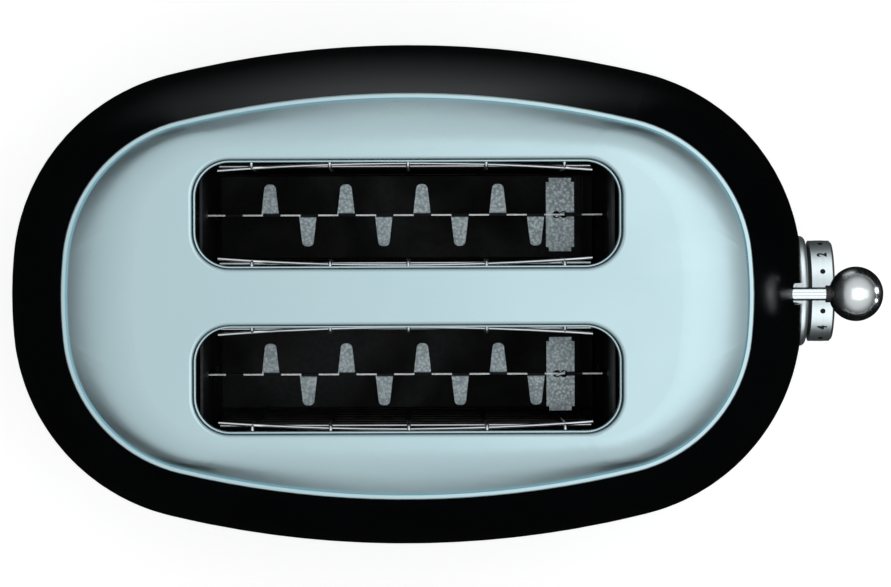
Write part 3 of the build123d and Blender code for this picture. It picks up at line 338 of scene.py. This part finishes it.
def oven_metal(name, colour, scorched, roughness, stretch):
    """Sheet inside the oven: heat-darkened, with faint drawn streaks and settled dust; the oven's own
    sheet is given a near black colour as painted shade.
    """
    material, tree, shader = new_material(name, metallic=0.75)
    brushing = place_group(tree, BRUSHING, stretch=stretch)
    smudges = place_group(tree, SMUDGES, scale=25.0)
    dust = place_group(tree, SETTLED_DUST, scale=70.0, amount=0.5)
    dimmed_tone = mix_colours(tree, smudges.outputs["Mask"], colour, scorched)
    streaked = shade(colour, STREAK_SHADE)
    dimmed_tone = mix_colours(tree, spread(tree, brushing.outputs["Streaks"], 0.0, 0.6), dimmed_tone, streaked)
    dusty = mix_colours(tree, dust.outputs["Mask"], dimmed_tone, CRUMB_DUST)
    tree.links.new(dusty, shader.inputs["Base Color"])
    gloss = spread(tree, smudges.outputs["Mask"], roughness, roughness + SCORCH_ROUGHENING)
    tree.links.new(gloss, shader.inputs["Roughness"])
    add_bump(tree, shader, brushing.outputs["Lines"], strength=0.2, depth=0.00003)
    return material


def moulded(name, colour, worn, roughness, grain_scale, grain_depth, specular=0.5):
    """Moulded plastic or rubber: a fine grain, duller where it is handled."""
    material, tree, shader = new_material(name, Specular_IOR_Level=specular)
    speckle = place_group(tree, SPECKLE, scale=grain_scale, sharpness=0.35)
    smudges = place_group(tree, SMUDGES, scale=30.0)
    tone = mix_colours(tree, smudges.outputs["Mask"], colour, worn)
    grainy = shade(colour, GRAIN_SHADE)
    tone = mix_colours(tree, spread(tree, speckle.outputs["Mask"], 0.0, 0.5), tone, grainy)
    tree.links.new(tone, shader.inputs["Base Color"])
    gloss = spread(tree, smudges.outputs["Mask"], roughness, roughness + HANDLING_ROUGHENING)
    tree.links.new(gloss, shader.inputs["Roughness"])
    add_bump(tree, shader, speckle.outputs["Height"], strength=0.3, depth=grain_depth)
    return material


def black_gloss_paint():
    """Deep black paint with a slight orange peel under its gloss."""
    material, tree, shader = new_material("black_gloss_paint", Specular_IOR_Level=0.4)
    smudges = place_group(tree, SMUDGES, scale=9.0)
    mask = smudges.outputs["Mask"]
    deep_black = (0.0016, 0.002, 0.0026)
    handled_black = (0.0028, 0.0034, 0.004)
    tone = mix_colours(tree, mask, deep_black, handled_black)
    tree.links.new(tone, shader.inputs["Base Color"])
    tree.links.new(spread(tree, mask, 0.16, 0.22), shader.inputs["Roughness"])
    peel = add_node(
        tree,
        "ShaderNodeTexNoise",
        inputs={"Scale": 420.0, "Detail": 2.0, "Roughness": 0.4},
    )
    tree.links.new(own_place(tree), peel.inputs["Vector"])
    add_bump(tree, shader, peel.outputs["Fac"], strength=0.05, depth=0.00004)
    return material


def satin_deck_steel():
    """The steel deck: a fine satin grain along the slots, faint smudges, cool in tone."""
    material, tree, shader = new_material("satin_deck_steel", metallic=1.0)
    brushing = place_group(tree, BRUSHING, stretch=(60.0, 5200.0, 5200.0))
    smudges = place_group(tree, SMUDGES, scale=11.0)
    clean = (0.635, 0.845, 0.9)
    handled = (0.61, 0.82, 0.88)
    in_the_grain = (0.57, 0.77, 0.83)
    tone = mix_colours(tree, smudges.outputs["Mask"], clean, handled)
    grain = spread(tree, brushing.outputs["Lines"], 0.0, 0.4)
    tone = mix_colours(tree, grain, tone, in_the_grain)
    tree.links.new(tone, shader.inputs["Base Color"])
    gloss = spread(tree, smudges.outputs["Mask"], 0.27, 0.33)
    tree.links.new(gloss, shader.inputs["Roughness"])
    add_bump(tree, shader, brushing.outputs["Lines"], strength=0.08, depth=0.00002)
    return material


def heat_darkened_wire():
    """Plated wire of the guards: bright at the top, and lower down oxidised by the heaters and darkened
    with painted shade of the deep slot.
    """
    material, tree, shader = new_material("heat_darkened_wire", metallic=1.0)
    smudges = place_group(tree, SMUDGES, scale=120.0)
    height = split_axes(tree, own_place(tree))["Z"]
    bright = contrast(tree, height, BRIGHT_WIRE_FROM, BRIGHT_WIRE_TO)
    bright_plate = (0.95, 0.98, 1.0)
    dull_plate = (0.85, 0.9, 0.92)
    # painted shade: the dark colours below stand in for the shade deep in the slots, on top of the
    # oxide
    shaded_oxide = (0.05, 0.047, 0.045)
    shaded_soot = (0.028, 0.026, 0.025)
    fresh = mix_colours(tree, smudges.outputs["Mask"], bright_plate, dull_plate)
    dimmed_tone = mix_colours(tree, smudges.outputs["Mask"], shaded_oxide, shaded_soot)
    tree.links.new(mix_colours(tree, bright, dimmed_tone, fresh), shader.inputs["Base Color"])
    tree.links.new(spread(tree, bright, 0.42, 0.16), shader.inputs["Roughness"])
    speckle = place_group(tree, SPECKLE, scale=2600.0, sharpness=0.3)
    add_bump(tree, shader, speckle.outputs["Height"], strength=0.1, depth=0.00003)
    return material


def sand_blasted_steel():
    """Speckled steel of the bread carriers, with painted shade where a tab bends off and a painted
    highlight on the strip's top edge.
    """
    material, tree, shader = new_material("sand_blasted_steel", metallic=0.9)
    speckle = place_group(tree, SPECKLE, scale=1500.0, sharpness=0.32)
    smudges = place_group(tree, SMUDGES, scale=60.0)
    blasted = (0.66, 0.76, 0.79)
    pitted = (0.38, 0.46, 0.49)
    baked = (0.44, 0.52, 0.55)
    painted_edge_highlight = (0.93, 0.96, 0.97)
    painted_bend_shade = (0.012, 0.014, 0.016)
    tone = mix_colours(tree, speckle.outputs["Mask"], blasted, pitted)
    tone = mix_colours(tree, spread(tree, smudges.outputs["Mask"], 0.0, 0.4), tone, baked)
    at = split_axes(tree, own_place(tree))
    # painted shade at each tab's bend and a painted highlight along the strip's top edge, placed from
    # here on
    from_tab = math_node(tree, "SUBTRACT", at["X"], BODY_X + TAB_X)
    along = math_node(tree, "ABSOLUTE", from_tab)
    to_tab = math_node(tree, "PINGPONG", along, TAB_PITCH / 2)
    past_tab = contrast(tree, to_tab, TAB_HALF_ROOT, TAB_HALF_ROOT + BEND_SOFTNESS)
    by_tab = math_node(tree, "SUBTRACT", 1.0, past_tab)
    across = math_node(tree, "ABSOLUTE", at["Y"])
    from_strip = math_node(tree, "ABSOLUTE", math_node(tree, "SUBTRACT", across, STRIP_Y))
    in_bend = math_node(tree, "SUBTRACT", 1.0, contrast(tree, from_strip, BEND_FROM, BEND_TO))
    bend = math_node(tree, "MULTIPLY", in_bend, by_tab)
    on_edge = math_node(tree, "LESS_THAN", from_strip, STRIP_HALF_SHEET)
    edge = math_node(tree, "MULTIPLY", on_edge, math_node(tree, "SUBTRACT", 1.0, by_tab))
    tone = mix_colours(tree, edge, tone, painted_edge_highlight)
    tone = mix_colours(tree, bend, tone, painted_bend_shade)
    tree.links.new(tone, shader.inputs["Base Color"])
    tree.links.new(spread(tree, speckle.outputs["Mask"], 0.4, 0.52), shader.inputs["Roughness"])
    add_bump(tree, shader, speckle.outputs["Height"], strength=0.4, depth=0.00008)
    return material


def pressed_mica():
    """Heater board: flaky mica, browned by heat, and near black as painted shade for the inside of the
    oven.
    """
    material, tree, shader = new_material("pressed_mica", Specular_IOR_Level=0.4)
    flakes = add_node(tree, "ShaderNodeTexVoronoi", {"feature": "F1"}, {"Scale": 260.0})
    tree.links.new(own_place(tree), flakes.inputs["Vector"])
    smudges = place_group(tree, SMUDGES, scale=20.0)
    flake_tone = contrast(tree, flakes.outputs["Distance"], 0.1, 0.8)
    # painted shade: the mica's tones are near black for the shade inside the oven, beyond its browning
    sheet = (0.055, 0.05, 0.042)
    flake_edge = (0.03, 0.027, 0.023)
    browned = (0.022, 0.017, 0.013)
    tone = mix_colours(tree, flake_tone, sheet, flake_edge)
    tone = mix_colours(tree, smudges.outputs["Mask"], tone, browned)
    tree.links.new(tone, shader.inputs["Base Color"])
    tree.links.new(spread(tree, flake_tone, 0.45, 0.7), shader.inputs["Roughness"])
    add_bump(tree, shader, flakes.outputs["Distance"], strength=0.2, depth=0.0001)
    return material


def printed_ink():
    """Black ink of the dial's numbers and marks."""
    material, tree, shader = new_material("printed_ink", Specular_IOR_Level=0.3)
    speckle = place_group(tree, SPECKLE, scale=3000.0, sharpness=0.3)
    full_ink = (0.006, 0.007, 0.009)
    thin_ink = (0.012, 0.013, 0.015)
    tone = mix_colours(tree, speckle.outputs["Mask"], full_ink, thin_ink)
    tree.links.new(tone, shader.inputs["Base Color"])
    tree.links.new(spread(tree, speckle.outputs["Mask"], 0.4, 0.5), shader.inputs["Roughness"])
    return material


def circuit_board_green():
    """Solder mask with the shadow of its copper tracks."""
    material, tree, shader = new_material("circuit_board_green")
    tracks = add_node(tree, "ShaderNodeTexBrick", inputs={"Scale": 160.0, "Mortar Size": 0.06})
    tree.links.new(own_place(tree), tracks.inputs["Vector"])
    solder_mask = (0.01, 0.09, 0.045)
    over_track = (0.03, 0.16, 0.07)
    tone = mix_colours(tree, tracks.outputs["Fac"], solder_mask, over_track)
    tree.links.new(tone, shader.inputs["Base Color"])
    tree.links.new(spread(tree, tracks.outputs["Fac"], 0.3, 0.4), shader.inputs["Roughness"])
    add_bump(tree, shader, tracks.outputs["Fac"], strength=0.3, depth=0.00005)
    return material


# The finish of each material slot in the record, the ink, and the lever ball's own chrome
MATERIALS = {
    "body_paint": black_gloss_paint(),
    "deck_steel": satin_deck_steel(),
    "chrome": smudged_metal(
        "polished_chrome",
        colour=(0.74, 0.82, 0.85),
        dull=(0.66, 0.74, 0.77),
        roughness=0.1,
        rougher=0.16,
    ),
    "dial_metal": brushed_metal(
        "dial_steel",
        colour=(0.80, 0.9, 0.93),
        dull=(0.7, 0.79, 0.82),
        roughness=0.36,
        rougher=0.44,
        stretch=(5200.0, 60.0, 60.0),
        line_depth=0.00002,
    ),
    # painted shade: the oven's sheet is near black for the shade inside the slots, beyond its heat
    # darkening
    "oven_steel": oven_metal(
        "heat_and_shade_darkened_sheet",
        colour=(0.05, 0.055, 0.058),
        scorched=(0.02, 0.02, 0.021),
        roughness=0.42,
        stretch=(4000.0, 4000.0, 50.0),
    ),
    "wire_steel": heat_darkened_wire(),
    "carrier_steel": sand_blasted_steel(),
    "mica": pressed_mica(),
    "heater_wire": oven_metal(
        "oxidised_heater_wire",
        colour=(0.06, 0.052, 0.048),
        scorched=(0.03, 0.026, 0.024),
        roughness=0.45,
        stretch=(900.0, 900.0, 900.0),
    ),
    "black_plastic": moulded(
        "black_moulding",
        colour=(0.012, 0.012, 0.013),
        worn=(0.02, 0.02, 0.021),
        roughness=0.4,
        grain_scale=900.0,
        grain_depth=0.00008,
    ),
    "button_plastic": smudged_metal(
        "satin_button_caps",
        colour=(0.66, 0.72, 0.74),
        dull=(0.58, 0.64, 0.66),
        roughness=0.28,
        rougher=0.36,
        smudge_scale=90.0,
    ),
    "rubber": moulded(
        "foot_rubber",
        colour=(0.016, 0.016, 0.016),
        worn=(0.03, 0.029, 0.028),
        roughness=0.72,
        grain_scale=700.0,
        grain_depth=0.00012,
        specular=0.35,
    ),
    "circuit_board": circuit_board_green(),
    "winding": brushed_metal(
        "enamelled_copper",
        colour=(0.42, 0.17, 0.06),
        dull=(0.34, 0.13, 0.045),
        roughness=0.3,
        rougher=0.4,
        stretch=(60.0, 60.0, 2600.0),
        line_depth=0.0002,
        line_tone=0.2,
    ),
    "core_iron": brushed_metal(
        "laminated_iron",
        colour=(0.22, 0.225, 0.235),
        dull=(0.15, 0.15, 0.16),
        roughness=0.4,
        rougher=0.5,
        stretch=(60.0, 2200.0, 60.0),
        line_depth=0.0001,
        line_tone=0.2,
    ),
    "terminal_plastic": moulded(
        "terminal_moulding",
        colour=(0.55, 0.53, 0.47),
        worn=(0.45, 0.43, 0.38),
        roughness=0.45,
        grain_scale=900.0,
        grain_depth=0.00006,
    ),
    "wire_sleeve": moulded(
        "woven_wire_sleeve",
        colour=(0.4, 0.36, 0.29),
        worn=(0.3, 0.27, 0.21),
        roughness=0.7,
        grain_scale=1400.0,
        grain_depth=0.0002,
    ),
    "zinc": brushed_metal(
        "zinc_plated_steel",
        colour=(0.42, 0.45, 0.46),
        dull=(0.34, 0.36, 0.37),
        roughness=0.34,
        rougher=0.44,
        stretch=(300.0, 300.0, 900.0),
        line_depth=0.00003,
    ),
}
INK = printed_ink()
SATIN_CHROME = smudged_metal(
    "satin_chrome",
    colour=(0.91, 0.97, 0.99),
    dull=(0.87, 0.93, 0.95),
    roughness=0.2,
    rougher=0.24,
    smudge_scale=60.0,
)

# Every CAD piece takes the material of its slot in the record, but for two with a finish of their own
OWN_FINISH = {"lever_ball": SATIN_CHROME, "dial_bezel": MATERIALS["dial_metal"]}
slot_of = {row["node"]: row["material_slot"] for row in frame["record"]["subparts"]}
for node_name, node in frame["nodes"].items():
    node.data.materials.clear()
    node.data.materials.append(OWN_FINISH.get(node_name, MATERIALS[slot_of[node_name]]))


def add_piece(name, mesh, material, body):
    """A new piece of the toaster that rides on a body."""
    obj = bpy.data.objects.new(name, mesh)
    bpy.context.scene.collection.objects.link(obj)
    mesh.materials.clear()
    mesh.materials.append(material)
    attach(obj, body)
    return obj


def mesh_of_curve(curve):
    """The mesh of a curve or text, with the curve removed."""
    carrier = bpy.data.objects.new("carrier", curve)
    bpy.context.scene.collection.objects.link(carrier)
    bpy.context.view_layer.update()
    depsgraph = bpy.context.evaluated_depsgraph_get()
    mesh = bpy.data.meshes.new_from_object(carrier.evaluated_get(depsgraph))
    bpy.data.objects.remove(carrier)
    return mesh


# Dial numbers and dots, wrapped on the ring
def wrap_on_ring(mesh, angle):
    """Bend a flat print round the ring, at an angle from the top.

    A print reads along its own x, towards +Y on the ring, with its head towards the body."""
    for vertex in mesh.vertices:
        across, up, out = vertex.co
        radius = RING_RADIUS + PRINT_LIFT + out
        turn = angle + across / RING_RADIUS
        vertex.co = (NUMBER_X - up, radius * sin(turn), DIAL_Z + radius * cos(turn))


def cut_into_strips(mesh):
    """Cut a flat print across its width, so that it bends with the ring."""
    shape = bmesh.new()
    shape.from_mesh(mesh)
    half_width = max(abs(vertex.co.x) for vertex in shape.verts)
    cuts = int(half_width / PRINT_STEP)
    for cut in range(-cuts, cuts + 1):
        faces = shape.verts[:] + shape.edges[:] + shape.faces[:]
        bmesh.ops.bisect_plane(shape, geom=faces, plane_co=(cut * PRINT_STEP, 0, 0), plane_no=(1, 0, 0))
    shape.to_mesh(mesh)
    shape.free()
    return mesh


def number_mesh(text):
    """A flat number, centred, bolder and narrower than the plain font."""
    curve = bpy.data.curves.new("number", "FONT")
    curve.body = text
    curve.align_x = "CENTER"
    curve.align_y = "CENTER"
    curve.size = NUMBER_HEIGHT
    curve.extrude = PRINT_DEPTH / 2
    curve.offset = NUMBER_BOLDNESS
    mesh = mesh_of_curve(curve)
    across = [vertex.co.x for vertex in mesh.vertices]
    up = [vertex.co.y for vertex in mesh.vertices]
    middle_across = (max(across) + min(across)) / 2
    middle_up = (max(up) + min(up)) / 2
    for vertex in mesh.vertices:
        vertex.co.x = (vertex.co.x - middle_across) * NUMBER_NARROWING
        vertex.co.y -= middle_up
    return cut_into_strips(mesh)


def dot_mesh():
    """A small flat disc."""
    mesh = bpy.data.meshes.new("dot")
    shape = bmesh.new()
    bmesh.ops.create_cone(
        shape,
        cap_ends=True,
        segments=DOT_SIDES,
        radius1=DOT_RADIUS,
        radius2=DOT_RADIUS,
        depth=PRINT_DEPTH,
    )
    shape.to_mesh(mesh)
    shape.free()
    return cut_into_strips(mesh)


for number in range(1, NUMBER_COUNT + 1):
    number_angle = (NUMBER_AT_TOP - number) * NUMBER_STEP
    digits = number_mesh(str(number))
    wrap_on_ring(digits, number_angle)
    add_piece(f"dial_number_{number}", digits, INK, "browning_dial")
    if number < NUMBER_COUNT:
        dot = dot_mesh()
        wrap_on_ring(dot, number_angle - NUMBER_STEP / 2)
        add_piece(f"dial_dot_{number}", dot, INK, "browning_dial")


# Return spring
def spring_mesh():
    """A compression spring as one smooth wire with capped ends."""
    curve = bpy.data.curves.new("spring", "CURVE")
    curve.dimensions = "3D"
    curve.bevel_depth = SPRING_WIRE
    curve.bevel_resolution = 3
    curve.use_fill_caps = True
    steps = SPRING_TURNS * SPRING_STEPS
    line = curve.splines.new("POLY")
    line.points.add(steps)
    for step in range(steps + 1):
        turn = 2 * pi * step / SPRING_STEPS
        x = SPRING_X + SPRING_RADIUS * cos(turn)
        y = SPRING_RADIUS * sin(turn)
        z = SPRING_LOW + (SPRING_HIGH - SPRING_LOW) * (step / steps)
        line.points[step].co = (x, y, z, 1)
    return mesh_of_curve(curve)


spring = add_piece("return_spring_wire", spring_mesh(), MATERIALS["zinc"], "housing")
spring.data.shade_smooth()
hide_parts("return_spring")
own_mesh(spring)

# Floor, and a studio card that only reflections see
FLOOR_HALF = 12.0
FLOOR_COLOUR = (0.86, 0.87, 0.865, 1)
FLOOR_GLOW = 0.63
CARD_HALF = 4.0
CARD_LIFT = 0.5 * MM
CARD_TONE = 0.003

# The pale board on the card: its tone, and where it begins and ends along Y and along X
BOARD_TONE = 0.8
BOARD_COLOUR = (0.93, 0.98, 1, 1)
BOARD_NEAR_EDGE = (0.15, 0.68)
BOARD_FAR_EDGE = (0.9, 1.5)
BOARD_LEVER_EDGE = (0.06, 0.2)
BOARD_REAR_EDGE = (-0.34, -0.04)


def pale_floor():
    """A plain pale floor that takes the toaster's shadow and glows only where it is seen."""
    material, tree, output = empty_material("pale_floor")
    lit = add_node(tree, "ShaderNodeBsdfDiffuse", inputs={"Color": FLOOR_COLOUR})
    glow = add_node(tree, "ShaderNodeEmission", inputs={"Strength": FLOOR_GLOW})
    dark = add_node(tree, "ShaderNodeEmission", inputs={"Strength": 0.0})
    path = add_node(tree, "ShaderNodeLightPath")
    seen = math_node(tree, "MAXIMUM", path.outputs["Is Camera Ray"], path.outputs["Is Glossy Ray"])
    seen = math_node(tree, "MAXIMUM", seen, path.outputs["Is Transmission Ray"])
    choice = add_node(tree, "ShaderNodeMixShader")
    tree.links.new(seen, choice.inputs["Fac"])
    tree.links.new(dark.outputs[0], choice.inputs[1])
    tree.links.new(glow.outputs[0], choice.inputs[2])
    both = add_node(tree, "ShaderNodeAddShader")
    tree.links.new(lit.outputs[0], both.inputs[0])
    tree.links.new(choice.outputs[0], both.inputs[1])
    tree.links.new(both.outputs[0], output.inputs["Surface"])
    return material


def dark_card():
    """Near black but for a pale board that lies along the toaster's +Y side."""
    material, tree, output = empty_material("dark_card")
    surface = add_node(tree, "ShaderNodeNewGeometry")
    at = split_axes(tree, surface.outputs["Position"])
    beside = contrast(tree, at["Y"], *BOARD_NEAR_EDGE)
    near = math_node(tree, "SUBTRACT", 1.0, contrast(tree, at["Y"], *BOARD_FAR_EDGE))
    behind = math_node(tree, "SUBTRACT", 1.0, contrast(tree, at["X"], *BOARD_LEVER_EDGE))
    ahead = contrast(tree, at["X"], *BOARD_REAR_EDGE)
    across = math_node(tree, "MULTIPLY", beside, near)
    along = math_node(tree, "MULTIPLY", ahead, behind)
    on_board = math_node(tree, "MULTIPLY", across, along)
    tone = add_node(tree, "ShaderNodeEmission", inputs={"Color": BOARD_COLOUR})
    tree.links.new(spread(tree, on_board, CARD_TONE, BOARD_TONE), tone.inputs["Strength"])
    tree.links.new(tone.outputs[0], output.inputs["Surface"])
    return material


def lay_square(name, half, height, material):
    """A level square of the studio, centred under the toaster."""
    mesh = bpy.data.meshes.new(name)
    corners = [(x * half, y * half, height) for x, y in ((-1, -1), (1, -1), (1, 1), (-1, 1))]
    mesh.from_pydata(corners, [], [(0, 1, 2, 3)])
    mesh.materials.append(material)
    square = bpy.data.objects.new(name, mesh)
    bpy.context.scene.collection.objects.link(square)
    return square


floor = lay_square("floor", FLOOR_HALF, 0, pale_floor())

card = lay_square("dark_card", CARD_HALF, CARD_LIFT, dark_card())
card.visible_camera = False
card.visible_diffuse = False
card.visible_transmission = False
card.visible_shadow = False

# Lamps: the pieces that some of them light alone, and the middles that they face
DIAL_PIECES = ("dial_bezel", "dial_ring", "lever_stem")
LEVER_PIECES = ("lever_ball", "lever_collar", "lever_stem")
DIAL_MIDDLE = (0.15, 0, 0.06)
BALL_MIDDLE = (0.16, 0, 0.12)
BEYOND_LEVER = 0.98
DIAL_LAMP_SIDE = 0.75


def add_softbox(name, at, target, size, watts, only=()):
    """A rectangular softbox that faces a point, for the whole toaster or for the named pieces alone."""
    light = bpy.data.lights.new(name, "AREA")
    light.shape = "RECTANGLE"
    light.size, light.size_y = size
    light.energy = watts
    lamp = bpy.data.objects.new(name, light)
    lamp.location = at
    lamp.rotation_mode = "QUATERNION"
    lamp.rotation_quaternion = (Vector(target) - Vector(at)).to_track_quat("-Z", "Y")
    bpy.context.scene.collection.objects.link(lamp)
    if only:
        receivers = bpy.data.collections.new(f"lit_by_{name}")
        for piece_name in only:
            receivers.objects.link(frame["nodes"][piece_name])
        lamp.light_linking.receiver_collection = receivers


add_softbox(
    "lever_side_softbox",
    at=(BEYOND_LEVER, 0, 1.65),
    target=(BEYOND_LEVER, 0, 0),
    size=(1.85, 1.2),
    watts=2.9,
)
for lamp_name, side in (("dial_softbox_near", -1), ("dial_softbox_far", 1)):
    add_softbox(
        lamp_name,
        at=(0.3, side * DIAL_LAMP_SIDE, 0.5),
        target=DIAL_MIDDLE,
        size=(0.9, 0.9),
        watts=2.2,
        only=DIAL_PIECES,
    )
add_softbox(
    "ball_softbox",
    at=(0.18, 0, 1.2),
    target=BALL_MIDDLE,
    size=(0.95, 0.95),
    watts=1.4,
    only=LEVER_PIECES,
)
add_softbox(
    "lever_window",
    at=(0.8, 0.1, 0.11),
    target=BALL_MIDDLE,
    size=(0.12, 0.2),
    watts=0.3,
    only=LEVER_PIECES,
)
add_softbox(
    "lever_window_low",
    at=(0.75, -0.2, 0.09),
    target=BALL_MIDDLE,
    size=(0.06, 0.14),
    watts=0.12,
    only=LEVER_PIECES,
)

# Studio sky: its tone at each height, from -1 below to 1 above, and how far that height shifts
SKY_STOPS = (
    (-1.0, 0.003), (0.0, 0.008), (0.12, 0.05), (0.2, 0.12), (0.3, 0.2),
    (0.43, 0.37), (0.54, 0.49), (0.66, 0.575), (0.8, 0.63), (1.0, 0.68),
)
SKY_LEAN = 0.1
SKY_NARROWING = 0.1
SKY_WIDENING = 0.13


def studio_sky():
    """Bright overhead, nearly black from the horizon down, and dimmer at the ends than the sides."""
    world = bpy.data.worlds.new("studio")
    world.use_nodes = True
    tree = world.node_tree
    tree.nodes.clear()
    looking = add_node(tree, "ShaderNodeTexCoord")
    lever_way, side_way, upwards = split_axes(tree, looking.outputs["Generated"])
    lean = math_node(tree, "MULTIPLY", lever_way, SKY_LEAN)
    to_ends = math_node(tree, "MULTIPLY", lever_way, lever_way)
    to_sides = math_node(tree, "MULTIPLY", side_way, side_way)
    narrowing = math_node(tree, "MULTIPLY", to_ends, SKY_NARROWING)
    widening = math_node(tree, "MULTIPLY", to_sides, SKY_WIDENING)
    drawn = math_node(tree, "ADD", math_node(tree, "SUBTRACT", lean, narrowing), widening)
    height = math_node(tree, "ADD", upwards, drawn)
    fade = add_node(tree, "ShaderNodeValToRGB")
    while len(fade.color_ramp.elements) < len(SKY_STOPS):
        fade.color_ramp.elements.new(0.5)
    for stop, (stop_height, tone) in zip(fade.color_ramp.elements, SKY_STOPS):
        stop.position = (stop_height + 1) / 2
        stop.color = (tone, tone, tone, 1)
    halfway = math_node(tree, "MULTIPLY", math_node(tree, "ADD", height, 1.0), 0.5, clamp=True)
    tree.links.new(halfway, fade.inputs["Fac"])
    sky = add_node(tree, "ShaderNodeBackground", inputs={"Strength": 1.0})
    tree.links.new(fade.outputs["Color"], sky.inputs["Color"])
    output = add_node(tree, "ShaderNodeOutputWorld")
    tree.links.new(sky.outputs[0], output.inputs["Surface"])
    return world


bpy.context.scene.world = studio_sky()
bpy.context.scene.view_settings.view_transform = "Standard"


def overhead_camera():
    """The camera, looking down at the toaster with the lever end on the right."""
    lens = bpy.data.cameras.new("camera")
    lens.lens = CAMERA_LENS
    lens.sensor_width = CAMERA_SENSOR
    lens.clip_end = CAMERA_REACH
    camera = bpy.data.objects.new("camera", lens)
    bpy.context.scene.collection.objects.link(camera)
    backwards = (CAMERA_AT - CAMERA_TARGET).normalized()
    picture_up = Vector((sin(CAMERA_ROLL), cos(CAMERA_ROLL), 0))
    rightwards = picture_up.cross(backwards).normalized()
    turned = Matrix((rightwards, backwards.cross(rightwards), backwards)).transposed()
    camera.matrix_world = Matrix.Translation(CAMERA_AT) @ turned.to_4x4()
    return camera


bpy.context.scene.camera = overhead_camera()
